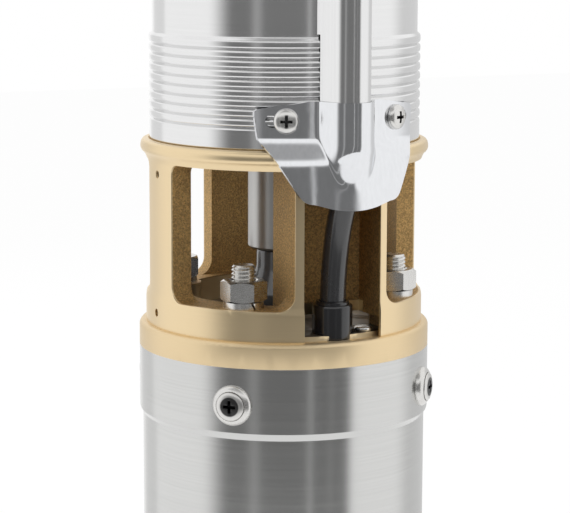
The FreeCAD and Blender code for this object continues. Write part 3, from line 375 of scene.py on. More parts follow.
class Nodes:
    """A node tree under construction."""

    def __init__(self, tree):
        self.tree = tree

    def node(self, kind, settings=None, inputs=None, output=0):
        made = self.tree.nodes.new(kind)
        for key, value in (settings or {}).items():
            setattr(made, key, value)
        for key, value in (inputs or {}).items():
            if isinstance(value, Wire):
                self.link(value, made.inputs[key])
            else:
                made.inputs[key].default_value = value
        return Wire(self, made.outputs[output])

    def link(self, wire, socket):
        self.tree.links.new(wire.socket, socket)

    def place(self, kind="Object"):
        return self.node("ShaderNodeTexCoord", output=kind)

    def axes(self, kind="Object"):
        """The place's x, y and z, in metres for an object."""
        split = self.node("ShaderNodeSeparateXYZ", {}, {0: self.place(kind)})
        return [Wire(self, socket) for socket in split.socket.node.outputs]

    def bearing(self, x, y):
        """The angle round the shaft from the cable slot's side, positive towards +X."""
        return self.node("ShaderNodeMath", {"operation": "ARCTAN2"}, {0: x, 1: y * -1.0})

    def ray(self, kind):
        """1 for the rays of one kind, such as the camera's own, and 0 for others."""
        return self.node("ShaderNodeLightPath", output="Is %s Ray" % kind)

    def noise(self, x_scale, y_scale, z_scale, detail=3.0, roughness=0.55):
        """Noise with its own scale, per metre, along each axis."""
        x, y, z = self.axes()
        spread = self.node("ShaderNodeCombineXYZ", {}, {0: x * x_scale, 1: y * y_scale, 2: z * z_scale})
        return self.node("ShaderNodeTexNoise", {}, {"Vector": spread, "Scale": 1.0, "Detail": detail,
                                                   "Roughness": roughness})

    def grain(self, scale, detail=4.0, roughness=0.6):
        return self.noise(scale, scale, scale, detail, roughness)

    def mix(self, first, second, factor):
        def opaque(value):
            return value if isinstance(value, Wire) else (*value, 1.0)
        return self.node("ShaderNodeMix", {"data_type": "RGBA"},
                         {0: factor, 6: opaque(first), 7: opaque(second)}, output=2)


class Finish(Nodes):
    """A material under construction."""

    def __init__(self, name, **constants):
        self.material = bpy.data.materials.new(name)
        self.material.use_nodes = True
        super().__init__(self.material.node_tree)
        self.shader = self.tree.nodes["Principled BSDF"]
        for key, value in constants.items():
            self.shader.inputs[key.replace("_", " ").title()].default_value = value

    def bump(self, height, depth):
        """Relief whose depth is in millimetres."""
        return self.node("ShaderNodeBump", {}, {"Height": height, "Distance": depth * MM,
                                               "Strength": 1.0})

    def feed(self, **sockets):
        for key, value in sockets.items():
            self.link(value, self.shader.inputs[key.replace("_", " ").title()])
        return self.material

    def coat(self, colour, roughness, relief, depth):
        """Feeds what varies over the surface; the relief's depth is in millimetres."""
        return self.feed(base_color=colour, roughness=roughness, normal=self.bump(relief, depth))

    def shades(self, tint, dark, light, factor):
        """A tint that goes between a darker and a lighter shade of itself."""
        return self.mix(scaled(tint, dark), scaled(tint, light), factor)


def scaled(tint, factor):
    return tuple(min(1.0, channel * factor) for channel in tint)


def turned_steel(name, tint, roughness, across=30.0, along=5200.0, depth=0.004, spread=0.12,
                 drawn_out=0.0, streaks=0.07):
    """Stainless steel with fine marks that run round the shaft and draw its reflections out along it."""
    finish = Finish(name, metallic=1.0, anisotropic=drawn_out, anisotropic_rotation=0.25)
    marks = finish.noise(across, across, along, detail=5.0)
    cloud = finish.noise(14.0, 14.0, 9.0, detail=2.0)
    return finish.coat(finish.shades(tint, 1 - streaks, 1 + streaks, marks * 0.6 + cloud * 0.4),
                       roughness - spread / 2 + marks * spread + (cloud - 0.5) * 0.08, marks, depth)


def drawn_steel(name, tint, roughness):
    """Stainless strip with faint marks along its length."""
    finish = Finish(name, metallic=1.0)
    marks = finish.noise(2600.0, 2600.0, 22.0, detail=4.0)
    smudge = finish.grain(60.0, detail=3.0)
    return finish.coat(finish.shades(tint, 0.94, 1.05, marks),
                       roughness + (marks - 0.5) * 0.08 + (smudge - 0.5) * 0.06, marks, 0.003)


def bright_steel(name, tint, roughness):
    """Polished pressed sheet with faint waviness and smudges."""
    finish = Finish(name, metallic=1.0)
    wave = finish.grain(110.0, detail=2.0)
    scuff = finish.noise(900.0, 900.0, 260.0, detail=5.0)
    return finish.coat(finish.shades(tint, 0.93, 1.05, scuff),
                       roughness + (scuff - 0.5) * 0.07 + (wave - 0.5) * 0.04,
                       wave * 0.9 + scuff * 0.1, 0.05)


def fastener_steel(name, tint, roughness, heads=()):
    """Plain stainless fasteners with slight stains, and painted shade in the recesses of their heads.

    Each head is a bearing in degrees, its level and how far out its rim stands, in millimetres. The
    painted shade lies within about 3 mm of its middle and below its rim.
    """
    finish = Finish(name, metallic=1.0)
    stain = finish.grain(260.0, detail=4.0)
    marks = finish.noise(400.0, 400.0, 5200.0, detail=3.0)
    x, y, z = finish.axes()
    skin = finish.shades(tint, 0.9, 1.08, stain)
    for bearing, level, reach in heads:
        angle = math.radians(bearing)
        out = x * math.sin(angle) - y * math.cos(angle)
        across = x * math.cos(angle) + y * math.sin(angle)
        up = z - level * MM
        near = 1 - ((across * across + up * up) ** 0.5).between(2.9 * MM, 3.3 * MM)
        deep = 1 - out.between((reach - 0.45) * MM, (reach - 0.15) * MM)
        # painted shade: each head's recess is darkened to near black, where shade falls
        skin = finish.mix(skin, (0.02, 0.02, 0.022), near * deep * 0.92)
    return finish.coat(skin, roughness + (stain - 0.5) * 0.1 + (marks - 0.5) * 0.06, marks, 0.002)


def cast_brass(name, brass):
    """Brass that is turned on its outside and in its bore, and rough from the mould elsewhere."""
    flange = (SHELF - 0.3) * MM
    finish = Finish(name, metallic=1.0)
    x, y, z = finish.axes()
    radius = (x * x + y * y) ** 0.5
    outside = radius.between(44.7 * MM, 45.1 * MM)
    within = 1 - radius.between((BORE + 0.4) * MM, (BORE + 0.7) * MM)
    bore = within * (1 - z.between(flange, flange + 0.3 * MM))
    worked = outside.most(bore)
    lines = finish.noise(26.0, 26.0, 4300.0, detail=4.0)
    patch = finish.grain(38.0, detail=3.0)
    sand = finish.grain(1.0 / brass.grain, detail=5.0, roughness=0.75)
    speckle = sand.between(0.36, 0.68)
    turned_tint = finish.shades(brass.machined, 0.95, 1.05, lines * 0.5 + patch * 0.5)
    sand_tint = finish.shades(brass.cast, 0.45, 1.5, speckle * 0.7 + patch * 0.3)
    rough = 0.5 + (sand - 0.5) * 0.3
    bright = 0.33 + (lines - 0.5) * 0.1 + (patch - 0.5) * 0.06
    return finish.coat(finish.mix(sand_tint, turned_tint, worked), rough * (1 - worked) + bright * worked,
                       sand * (1 - worked) + lines * worked * 0.004, 0.55)


def machined_brass(name, brass, stained=0.0):
    """Brass turned all over, with fine lines round the shaft; painted shade within a radius in
    millimetres.
    """
    finish = Finish(name, metallic=1.0, anisotropic=0.5, anisotropic_rotation=0.25)
    lines = finish.noise(26.0, 26.0, 4300.0, detail=4.0)
    patch = finish.grain(38.0, detail=3.0)
    x, y = finish.axes()[:2]
    bright = ((x * x + y * y) ** 0.5).between((stained - 0.5) * MM, stained * MM)
    skin = finish.shades(brass.machined, 0.93, 1.05, lines * 0.5 + patch * 0.5)
    # painted shade: a dark brown-grey tint inside the radius, standing in for the shade there
    painted_shade = finish.mix((0.09, 0.075, 0.06), (0.22, 0.18, 0.13), patch)
    return finish.coat(finish.mix(painted_shade, skin, bright),
                       0.44 + (lines - 0.5) * 0.12 + (patch - 0.5) * 0.06, lines, 0.002)


def rubber(name, tint, roughness, scale=900.0, depth=0.02, gloss=0.0):
    """Black rubber with a faint sheen, dust and a fine skin."""
    finish = Finish(name, coat_weight=gloss, coat_roughness=roughness / 2)
    skin = finish.grain(scale, detail=5.0)
    dust = finish.grain(45.0, detail=4.0)
    return finish.coat(finish.shades(tint, 0.8, 1.7, dust),
                       roughness + (dust - 0.5) * 0.18 + (skin - 0.5) * 0.1, skin, depth)


def plastic(name, tint, roughness, gloss=0.0):
    """Moulded plastic with a fine texture and faint flow marks."""
    finish = Finish(name, coat_weight=gloss, coat_roughness=roughness / 2)
    skin = finish.grain(1500.0, detail=3.0)
    flow = finish.noise(70.0, 70.0, 30.0, detail=3.0)
    return finish.coat(finish.shades(tint, 0.88, 1.12, flow),
                       roughness + (flow - 0.5) * 0.12, skin, 0.012)


def layered_steel(name, tint):
    """A stack of thin sheets, seen as fine lines along the shaft."""
    finish = Finish(name, metallic=0.85)
    sheet = finish.node("ShaderNodeTexWave", {"bands_direction": "Z", "wave_profile": "SAW"},
                        {"Vector": finish.place(), "Scale": 320.0, "Distortion": 0.1}, output=1)
    stain = finish.grain(120.0, detail=4.0)
    return finish.coat(finish.shades(tint, 0.6, 1.25, sheet * 0.5 + stain * 0.5),
                       0.45 + (stain - 0.5) * 0.2, sheet, 0.05)


def wound_copper(name, tint):
    """Enamelled wire laid in bundles."""
    finish = Finish(name, metallic=0.9, coat_weight=0.5, coat_roughness=0.2)
    wires = finish.node("ShaderNodeTexWave", {"bands_direction": "DIAGONAL"},
                        {"Vector": finish.place(), "Scale": 420.0, "Distortion": 3.0, "Detail": 2.0},
                        output=1)
    shade = finish.grain(160.0, detail=4.0)
    return finish.coat(finish.shades(tint, 0.55, 1.2, wires * 0.6 + shade * 0.4),
                       0.3 + (shade - 0.5) * 0.15, wires, 0.12)


def cast_iron(name, tint, roughness=0.6):
    """A rough sand casting."""
    finish = Finish(name, metallic=0.9)
    sand = finish.grain(900.0, detail=6.0, roughness=0.7)
    patch = finish.grain(60.0, detail=3.0)
    return finish.coat(finish.shades(tint, 0.7, 1.2, sand * 0.6 + patch * 0.4),
                       roughness + (sand - 0.5) * 0.2, sand, 0.2)


finishes = {}


def make_finishes(scene):
    steel, brass, soft = scene.pump_steel, scene.pump_brass, scene.pump_rubber
    # heads whose recesses get painted shade
    shell_heads = [(45 + 90 * i, SHELL_SCREWS, SHELL_WALL + 2.85) for i in range(4)]
    guard_heads = [(side * SIDE_SCREWS, level, CASING_WALL + seat + 2.1)
                   for side in (1, -1) for level, seat in SCREW_SEATS]
    finishes.update({
        "casing_steel": turned_steel("Polished casing steel", steel.casing, steel.casing_roughness,
                                     across=24.0, along=1900.0, depth=0.002, spread=0.07, drawn_out=0.5),
        "shell_steel": turned_steel("Brushed shell steel", steel.shell, steel.shell_roughness,
                                    across=12.0, along=3200.0, depth=0.003, spread=0.09, streaks=0.13),
        "guard_steel": drawn_steel("Drawn guard steel", steel.casing, 0.16),
        "clamp_steel": bright_steel("Pressed clamp steel", steel.clamp, 0.1),
        "shaft_steel": turned_steel("Ground shaft steel", scaled(steel.fastener, 0.72), 0.34,
                                    across=300.0, depth=0.003, spread=0.1),
        "screw_steel": fastener_steel("Fastener steel", steel.fastener, 0.27),
        "shell_screw_steel": fastener_steel("Shell screw steel", steel.fastener, 0.34, shell_heads),
        "guard_screw_steel": fastener_steel("Guard screw steel", steel.fastener, 0.25, guard_heads),
        "bearing_steel": turned_steel("Bearing steel", (0.6, 0.6, 0.61), 0.12,
                                      across=60.0, along=6000.0, depth=0.001, spread=0.05),
        "lamination_steel": layered_steel("Lamination steel", (0.3, 0.3, 0.31)),
        "grey_iron": cast_iron("Grey cast iron", (0.24, 0.24, 0.25)),
        "rotor_aluminium": cast_iron("Cast aluminium", (0.66, 0.66, 0.67), 0.42),
        "copper": wound_copper("Enamelled copper", (0.62, 0.29, 0.12)),
        "brass": cast_brass("Cast and turned brass", brass),
        "turned_brass": machined_brass("Turned brass", brass),
        # painted shade on the ring inside 43.4 mm, where the face beside the connector lies in shade
        "ring_brass": machined_brass("Turned ring, stained within", brass, stained=43.4),
        "sleeve_bronze": machined_brass("Bronze sleeve", brass),
        "cap_plastic": plastic("Black end cap", (0.05, 0.05, 0.052), 0.5),
        "connector_black": plastic("Connector moulding", soft.connector, 0.22, gloss=0.6),
        "stage_plastic": plastic("Stage plastic", soft.stage, 0.48),
        "wheel_plastic": plastic("Impeller plastic", soft.impeller, 0.42),
        "ring_plastic": plastic("Neck ring plastic", (0.78, 0.76, 0.7), 0.3),
        "valve_plastic": plastic("Valve plastic", scaled(soft.impeller, 1.05), 0.4),
        "seal_ceramic": plastic("Seal ceramic", (0.76, 0.74, 0.68), 0.15),
        "seal_rubber": rubber("Valve seal rubber", (0.03, 0.03, 0.03), 0.55),
        "bush_rubber": rubber("Bush rubber", (0.045, 0.045, 0.045), 0.6),
        "black_rubber": rubber("Slinger rubber", (0.03, 0.03, 0.031), 0.24, gloss=1.0),
        "lead_rubber": rubber("Lead sheath", soft.lead, 0.26, scale=700.0, depth=0.005, gloss=0.9),
    })


class PumpStep:
    """What the pump's operators share."""

    bl_options = {"REGISTER", "UNDO"}


# Stage: camera, floor, light. The screen's dark strips are given as bearings in degrees from the
# cable slot's side: start, end, softness of the start, depth. Its light lines are middle, half
# width and gain.
DARK_STRIPS = [(-80, 27, 12, 0.83), (84, 150, 12, 0.3), (-178, -148, 8, 0.22)]
LIGHT_LINES = [(-48, 7, 0.2), (-5, 2.4, 0.42), (11, 2.5, 0.12)]


class PUMP_OT_stage(PumpStep, bpy.types.Operator):
    """Sets up the camera, the pale floor, the white backdrop and the soft light"""

    bl_idname = "pump.stage"
    bl_label = "Stage"

    def execute(self, context):
        scene = context.scene
        scene.view_settings.view_transform = "Standard"
        self.camera(scene)
        self.floor()
        self.tent()
        self.world(scene)
        self.lamp("Left softbox", (-1.5, -0.7, 0.9), 1.2, 16.0)
        self.lamp("Right softbox", (1.35, -0.9, 1.0), 1.2, 15.0)
        self.lamp("Top softbox", (0.0, -0.1, 1.9), 1.4, 14.0)
        self.lamp("Back softbox", (0.2, 1.5, 1.0), 1.2, 9.0)
        return {"FINISHED"}

    def camera(self, scene):
        """Stands where the photograph was taken from."""
        bearing, pitch, roll = -25.5, 9.09, 0.19
        bpy.ops.object.camera_add()
        camera = named("Camera")
        camera.data.lens = 136.74
        camera.data.sensor_width = 36.0
        camera.data.clip_start = 0.01
        tilt = Matrix.Rotation(math.radians(90 - pitch), 4, "X")
        camera.matrix_world = turn_z(bearing) @ shift(0.37, -713, 404.47) @ tilt @ turn_z(roll)
        scene.camera = camera

    def floor(self):
        bpy.ops.mesh.primitive_plane_add(size=8.0)
        floor = named("Floor")
        finish = Finish("Pale floor", roughness=0.6, base_color=(0.82, 0.82, 0.82, 1.0))
        white = finish.node("ShaderNodeEmission", {}, {"Color": (1.0, 1.0, 1.0, 1.0)})
        haze = finish.ray("Camera").most(finish.ray("Glossy")).most(finish.ray("Transmission")) * 0.96
        pale = Wire(finish, finish.shader.outputs[0])
        blend = finish.node("ShaderNodeMixShader", {}, {0: haze, 1: pale, 2: white})
        finish.link(blend, finish.tree.nodes["Material Output"].inputs["Surface"])
        floor.data.materials.append(finish.material)

    def tent(self):
        """A pale flared screen with dark strips, which only shows in what shines."""
        bpy.ops.mesh.primitive_cone_add(vertices=128, radius1=0.6, radius2=0.74, depth=0.9,
                                        end_fill_type="NOTHING")
        tent = settle(named("Screen"), Matrix.Translation((0, 0, 0.45)))
        finish = Finish("Studio screen", base_color=(0, 0, 0, 1.0), roughness=1.0, emission_strength=1.0)
        x, y, z = finish.axes()
        bearing = finish.bearing(x, y)
        low = 1 - z.between(0.48, 0.60)
        light = 1.0
        for start, end, soft, depth in DARK_STRIPS:
            start, end, soft = [math.radians(angle) for angle in (start, end, soft)]
            inside = bearing.between(start - soft, start + soft)
            inside = inside * (1 - bearing.between(end - soft / 3, end + soft / 3))
            light = light - inside * low * depth
        for middle, half, gain in LIGHT_LINES:
            middle, half = math.radians(middle), math.radians(half)
            line = bearing.between(middle - half, middle) * (1 - bearing.between(middle, middle + half))
            light = light + line * low * gain
        finish.feed(emission_color=finish.mix((0.0, 0.0, 0.0), (1.0, 1.0, 1.0), light))
        tent.data.materials.append(finish.material)
        for kind in ("camera", "diffuse", "transmission", "volume_scatter", "shadow"):
            setattr(tent, "visible_" + kind, False)

    def world(self, scene):
        """White to the camera, and to what shines a bright studio whose ceiling is darker in front."""
        world = bpy.data.worlds.new("Studio")
        scene.world = world
        world.use_nodes = True
        studio = Nodes(world.node_tree)
        x, y, z = studio.axes("Generated")
        bearing = studio.bearing(x, y)
        front = bearing.between(-1.9, -1.2) * (1 - bearing.between(0.1, 0.5))  # in radians
        shade = 1 - front * z.between(0.66, 0.8) * 0.6
        camera, glossy = studio.ray("Camera"), studio.ray("Glossy")
        strength = camera + (1 - camera) * (glossy * shade * 0.98 + (1 - glossy) * 0.62)
        ground = world.node_tree.nodes["Background"]
        ground.inputs["Color"].default_value = (1.0, 1.0, 1.0, 1.0)
        studio.link(strength, ground.inputs["Strength"])

    def lamp(self, name, place, size, power):
        bpy.ops.object.light_add(type="AREA", location=place)
        lamp = bpy.context.object
        lamp.name = name
        lamp.data.size = size
        lamp.data.energy = power
        lamp.visible_glossy = False
        aim = Vector((0, 0, 0.33)) - Vector(place)
        lamp.rotation_euler = aim.to_track_quat("-Z", "Y").to_euler()


# The motor lead
def lead_curve(name, points, radius):
    """A smooth round cord with the route's points, in millimetres, as control points."""
    data = bpy.data.curves.new(name, "CURVE")
    data.dimensions = "3D"
    spline = data.splines.new("NURBS")
    spline.points.add(len(points) - 1)
    for control, point in zip(spline.points, points):
        control.co = (*[c * MM for c in point], 1.0)
    spline.order_u = 3
    spline.use_endpoint_u = True
    spline.resolution_u = 12
    data.bevel_depth = radius
    data.bevel_resolution = 10
    data.use_fill_caps = True
    piece = bpy.data.objects.new(name, data)
    bpy.context.collection.objects.link(piece)
    return piece


# The route in millimetres: held under the guard, then loose up and over, and down to the coil
HELD = [(-1, -38.1, 278), (-0.8, -38.2, 299.1), (0.2, -48.95, 326), (0, -48.95, 346), (0, -48.95, 450),
        (0, -48.95, GUARD_TOP)]
COIL_CENTRE = (0, 128)
LOOSE = [
    (0, -48.95, GUARD_TOP), (0.3, -49.5, 592), (11.1, -56.8, 618.7), (23.8, -55.9, 649.2),
    (37.2, -39.6, 670.3), (48, -12.9, 677.9), (52.7, 15.3, 669.6), (51.1, 35.3, 647.5),
    (43, 41.1, 613.3), (33.9, 46.4, 576), (21.8, 53.4, 526.8), (8, 61.5, 470), (5.8, 61, 405),
    (5.6, 60.4, 345), (6.4, 60.4, 290), (8.6, 61.2, 236), (13.2, 63, 188), (19.8, 66, 145),
    (27.6, 70.5, 108), (35, 76.5, 77), (41.2, 84.5, 51.5), (45.6, 96, 31), (47.4, 111, 18.5),
]


class PUMP_OT_lead(PumpStep, bpy.types.Operator):
    """Lays the motor lead: held under the guard, then loose to its coil behind the pump"""

    bl_idname = "pump.lead"
    bl_label = "Motor lead"

    def execute(self, context):
        sizes = context.scene.pump_sizes
        held = lead_curve("motor_lead_held", HELD, sizes.lead_radius)
        self.colour(held)
        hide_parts("motor_lead")
        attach(held, "pump_body")
        loose = lead_curve("motor_lead_loose", LOOSE + self.coil(sizes), sizes.lead_radius)
        self.colour(loose)
        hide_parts("lead_tail", "lead_coil")
        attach(loose, "pump_body")
        return {"FINISHED"}

    def colour(self, piece):
        piece.data.materials.append(finishes["lead_rubber"])

    def coil(self, sizes):
        """Three neat turns: the first lies on top of two on the floor, one outside the other."""
        leaves, lands, tucks = 312, 360, 600
        middle, lead = sizes.coil_radius / MM, sizes.lead_radius / MM
        outer, inner = middle + 1.035 * lead, middle - 1.035 * lead
        on_top, on_floor = 3.04 * lead, 1.01 * lead
        per_turn, turns = 15, 2.64
        swell = 1 / math.cos(math.pi / per_turn)
        points = []
        for i in range(int(per_turn * turns) + 1):
            angle = i * 360 / per_turn
            if angle <= leaves:
                radius, level = middle, on_top
            elif angle < lands:
                fall = (angle - leaves) / (lands - leaves)
                radius = middle + (outer - middle) * min(1.0, 1.6 * fall)
                level = on_top + (on_floor - on_top) * fall
            elif angle <= tucks:
                radius, level = outer, on_floor
            else:
                radius = outer + (inner - outer) * min(1.0, (angle - tucks) / 60)
                level = on_floor
            x, y = [swell * radius * turn for turn in (math.cos(math.radians(angle)),
                                                       math.sin(math.radians(angle)))]
            points.append((COIL_CENTRE[0] + x, COIL_CENTRE[1] + y, level))
        return points[1:]


# Motor
class PUMP_OT_motor_shell(PumpStep, bpy.types.Operator):
    """Turns the stainless motor shell with its swollen top, and the brass ring over it"""

    bl_idname = "pump.motor_shell"
    bl_label = "Motor shell and top ring"

    def execute(self, context):
        top = SHELL_TOP
        shell = turned("motor_shell_tube", [
            (45.1, 0), (46.9, 0), (47.1, 0.3), (47.1, top - 23.4), (47.15, top - 23.0),
            (47.3, top - 22.6), (47.95, top - 21.6), (48.1, top - 21.2), (SHELL_WALL, top - 20.8),
            (SHELL_WALL, top - 0.5), (47.95, top), (46.2, top), (46.2, top - 16),
            (45.1, top - 22.5)], 256)
        carve(shell, *rods("hole", 2.55, -8, 4, shell_screw_places(46.15)))
        dress(shell, "shell_steel", node="motor_shell")
        dress(copy_of("motor_top_bracket"), "brass", "ring_brass")
        return {"FINISHED"}


class PUMP_OT_shell_screws(PumpStep, bpy.types.Operator):
    """Makes the countersunk cross-head screws in their cup washers round the shell"""

    bl_idname = "pump.shell_screws"
    bl_label = "Shell screws"

    def execute(self, context):
        screw = turned("shell_screws_piece", [
            (0, -9), (2.45, -9), (2.45, 0), (4.5, 2.05), (4.6, 2.3), (4.35, 2.55), (3.4, 2.85),
            (2.0, 3.02), (0, 3.08)], 64)
        carve(screw, *cross(4.7, 2.4, 3.1))
        soften(screw, 0.12, 2, 40)
        dress(copies(screw, shell_screw_places()), "screw_steel", "shell_screw_steel")
        cup = turned("cup_washers_piece", [
            (2.6, -0.8), (6.0, -0.8), (6.45, -0.2), (6.5, 0.5), (6.2, 1.15), (5.7, 1.6), (5.2, 1.95),
            (4.85, 2.1), (4.65, 2.05), (3.6, 1.1), (2.6, 0.1)], 64)
        inside = rod("inside", SHELL_WALL - 0.05, FACE - 40, FACE, 256)
        cup = carve(settle(cup, shell_screw_places()[0]), inside)
        dress(copies(cup, [turn_z(90 * i) for i in range(4)]), "screw_steel")
        return {"FINISHED"}


def cross(width, depth, top):
    """Two tapered bars that cut a cross recess."""
    bars = []
    for turn in (0, 90):
        half, thin = width / 2, width / 8.5
        bar = block("bar", half, -thin, thin, top - depth, top + 1)
        for vertex in bar.data.vertices:
            if vertex.co.z < (top - depth + 0.1) * MM:
                vertex.co.x *= 0.6
                vertex.co.y *= 0.8
        bars.append(settle(bar, turn_z(turn)))
    return bars


class PUMP_OT_connector(PumpStep, bpy.types.Operator):
    """Makes the moulded cable connector, its gland lip and the oil filler screw beside it"""

    bl_idname = "pump.connector"
    bl_label = "Cable connector"

    def execute(self, context):
        low, high = FACE - 12.5, FACE + 12
        plug = turned("cable_connector_piece", [
            (0, low), (6.3, low), (6.45, low + 0.3), (6.45, high - 2.1), (6.4, high - 1.6),
            (6.15, high - 1.2), (5.75, high - 1.05), (5.35, high - 1.0), (5.3, high - 0.3), (5.0, high),
            (4.4, high), (4.2, high - 0.6), (4.2, high - 1.6), (0, high - 1.6)], 96)
        settle(plug, shift(-1.0, -STUD_CIRCLE))
        dress(plug, "connector_black")
        dress(copy_of("oil_filler_screw"), "screw_steel")
        return {"FINISHED"}


# Flange fasteners. The nuts stand as they were tightened, each turned by its own angle in degrees.
NUT_TURNS = (12.6, 26.0, -3.0, -13.4)


class PUMP_OT_flange_fasteners(PumpStep, bpy.types.Operator):
    """Makes the four threaded studs, chamfered nuts and split spring washers"""

    bl_idname = "pump.flange_fasteners"
    bl_label = "Flange fasteners"

    def execute(self, context):
        stud = self.stud(context.scene.pump_sizes)
        dress(copies(stud, stud_places()), "screw_steel")
        turns = [place @ turn_z(turn) for place, turn in zip(stud_places(), NUT_TURNS)]
        dress(copies(self.nut(SHELF + WASHER_HEIGHT), turns), "screw_steel", angle=25)
        dress(copies(self.washer(SHELF), stud_places()), "screw_steel")
        return {"FINISHED"}

    def stud(self, sizes):
        """A threaded rod: one turn of the thread's profile, screwed up and trimmed flat."""
        pitch = sizes.thread_pitch / MM
        low, high = FACE - 12, SHELF + WASHER_HEIGHT + NUT_HEIGHT + 4.8
        thread = trace("flange_studs_piece", [
            (radius * MM, 0, turn * pitch * MM)
            for radius, turn in ((3.32, 0), (3.92, 0.42), (3.92, 0.56), (3.32, 0.96), (3.32, 1))])
        bpy.ops.object.mode_set(mode="OBJECT")
        modify(thread, "SCREW", angle=FULL_TURN, screw_offset=sizes.thread_pitch, steps=32,
               render_steps=32, iterations=int((high - low) / pitch) + 3, use_merge_vertices=True)
        settle(thread, shift(0, 0, low - pitch))
        for level, outer in ((low, False), (high, True)):
            edit(thread)
            bpy.ops.mesh.select_all(action="SELECT")
            bpy.ops.mesh.bisect(plane_co=(0, 0, level * MM), plane_no=(0, 0, 1), use_fill=True,
                                clear_outer=outer, clear_inner=not outer)
        tidy_mesh()
        ends = turned("ends", [(0, low), (4.2, low), (4.2, high - 1.1), (3.1, high), (0, high)], 64)
        return carve(thread, ends, operation="INTERSECT")

    def nut(self, low):
        clear()
        bpy.ops.mesh.primitive_cylinder_add(vertices=6, radius=13 / math.sqrt(3) * MM,
                                            depth=NUT_HEIGHT * MM)
        nut = settle(named("flange_nuts_piece"), shift(0, 0, low + NUT_HEIGHT / 2))
        tops = turned("tops", [(0, low), (6.2, low), (7.7, low + 0.85), (7.7, low + 5.95),
                               (6.2, low + NUT_HEIGHT), (0, low + NUT_HEIGHT)], 96)
        carve(nut, tops, operation="INTERSECT")
        bore = turned("bore", [(0, low - 1), (4.6, low - 1), (4.6, low), (3.95, low + 0.6),
                               (3.95, low + 6.2), (4.6, low + NUT_HEIGHT), (4.6, low + 8),
                               (0, low + 8)], 48)
        return soften(carve(nut, bore), 0.14, 2, 28)

    def washer(self, low):
        high = low + WASHER_HEIGHT
        washer = turned("spring_washers_piece", [(4.1, low), (6.4, low), (6.4, high), (4.1, high)], 64)
        slit = slab("slit", [(0, -0.35), (12, -0.35), (12, 0.35), (0, 0.35)], -3, 6)
        tilt = Matrix.Rotation(math.radians(28), 4, "X")
        settle(slit, shift(0, 0, low) @ turn_z(-35) @ tilt)
        return soften(carve(washer, slit), 0.2, 2, 40)


# Suction bracket
class PUMP_OT_suction_bracket(PumpStep, bpy.types.Operator):
    """Casts the suction bracket and cuts its windows, cable slot, bore and holes"""

    bl_idname = "pump.suction_bracket"
    bl_label = "Suction bracket"

    def execute(self, context):
        cove = RIM - 4.1
        body = turned("suction_bracket_piece", [
            (BORE, FACE), (45.85, FACE), (45.85, SHELF - 1.8), (45.75, SHELF - 0.8), (45.4, SHELF + 0.8),
            (BRACKET_WALL, SHELF + 1.8), (BRACKET_WALL, cove - 3.2), (45.45, cove - 2.2),
            (45.85, cove - 1.2), (46.4, cove - 0.3), (46.95, cove + 0.1), (47.35, cove + 0.7),
            (47.5, cove + 1.3), (47.5, cove + 2.0), (47.3, cove + 3.0), (46.8, cove + 3.7),
            (45.9, RIM), (41.9, RIM), (41.9, RIM + 24.4), (38.6, RIM + 24.4), (38.6, SHELF),
            (BORE, SHELF)], 240)
        pads = join("pads", rods("pad", 7.8, FACE + 0.05, SHELF - 0.05, stud_places(), 64))
        carve(pads, rod("trim", 45.84, FACE - 1, SHELF + 1, 240), operation="INTERSECT")
        carve(body, pads, self.slot_box(), operation="UNION")
        carve(body, *self.windows(), *self.slot(), *self.bores())
        soften(body, context.scene.pump_sizes.edge / MM, 3, 35)
        dress(body, "brass", angle=38)
        return {"FINISHED"}

    def slot_box(self):
        """The thick part of the wall that the cable slot is cut in."""
        box = block("slot_box", 16.1, -45.4, -25.8, FACE, ROOF + 0.5)
        return carve(box, rod("trim", 45.28, FACE - 1, ROOF + 2, 240), operation="INTERSECT")

    def windows(self):
        """Openings between the posts, with rounded sills and heads."""
        front = [(16.1, -31.9), (16.1, -90.6), (90.6, -9.25), (31.9, -9.25)]
        back = [(31.9, 9.25), (90.6, 9.25), (10, 90.6), (10, 31.9)]
        made = []
        for outline in (front, back):
            for side in (1, -1):
                window = slab("window", [(x * side, y) for x, y in outline], SHELF, ROOF)
                for level, radius in ((SHELF, 5.0), (ROOF, 3.0)):
                    edit(window, "EDGE")
                    bpy.ops.mesh.select_all(action="DESELECT")
                    bpy.ops.object.mode_set(mode="OBJECT")
                    self.select_long_edges(window, level)
                    bpy.ops.object.mode_set(mode="EDIT")
                    bpy.ops.mesh.bevel(offset=radius * MM, segments=8, affect="EDGES")
                    bpy.ops.object.mode_set(mode="OBJECT")
                edit(window)
                tidy_mesh()
                made.append(window)
        return made

    def select_long_edges(self, window, level):
        """Selects the edges at a level that run outwards through the wall."""
        for edge in window.data.edges:
            a, b = [window.data.vertices[i].co for i in edge.vertices]
            flat = all(abs(end.z - level * MM) < 1e-6 for end in (a, b))
            edge.select = flat and abs(a.xy.length - b.xy.length) > 10 * MM

    def slot(self):
        """The slot's opening, the pocket in the flange and the notch in the rim."""
        return [block("opening", 13.5, -91, -28.4, FACE - 1, ROOF),
                block("pocket", 16.9, -42.2, -23.2, FACE - 1, FACE + 6),
                block("notch", 6.15, -91, -41, ROOF - 1, RIM + 1)]

    def bores(self):
        """Holes for the studs and small screws, and the register over the motor's ring."""
        strainer = [facing(BRACKET_WALL, angle, level)
                    for level in (FACE + 4.9, ROOF - 4) for angle in (90, -90)]
        return [*rods("stud_hole", 4.3, FACE - 1, SHELF + 1, stud_places()),
                *rods("strainer_hole", 1.3, -5, 5, strainer, 24),
                *rods("clamp_hole", 2.0, -6, 4, guard_screw_places(CLAMP_SCREWS), 24),
                rod("register", 43.75, FACE - 1, FACE + 1.6, 240)]


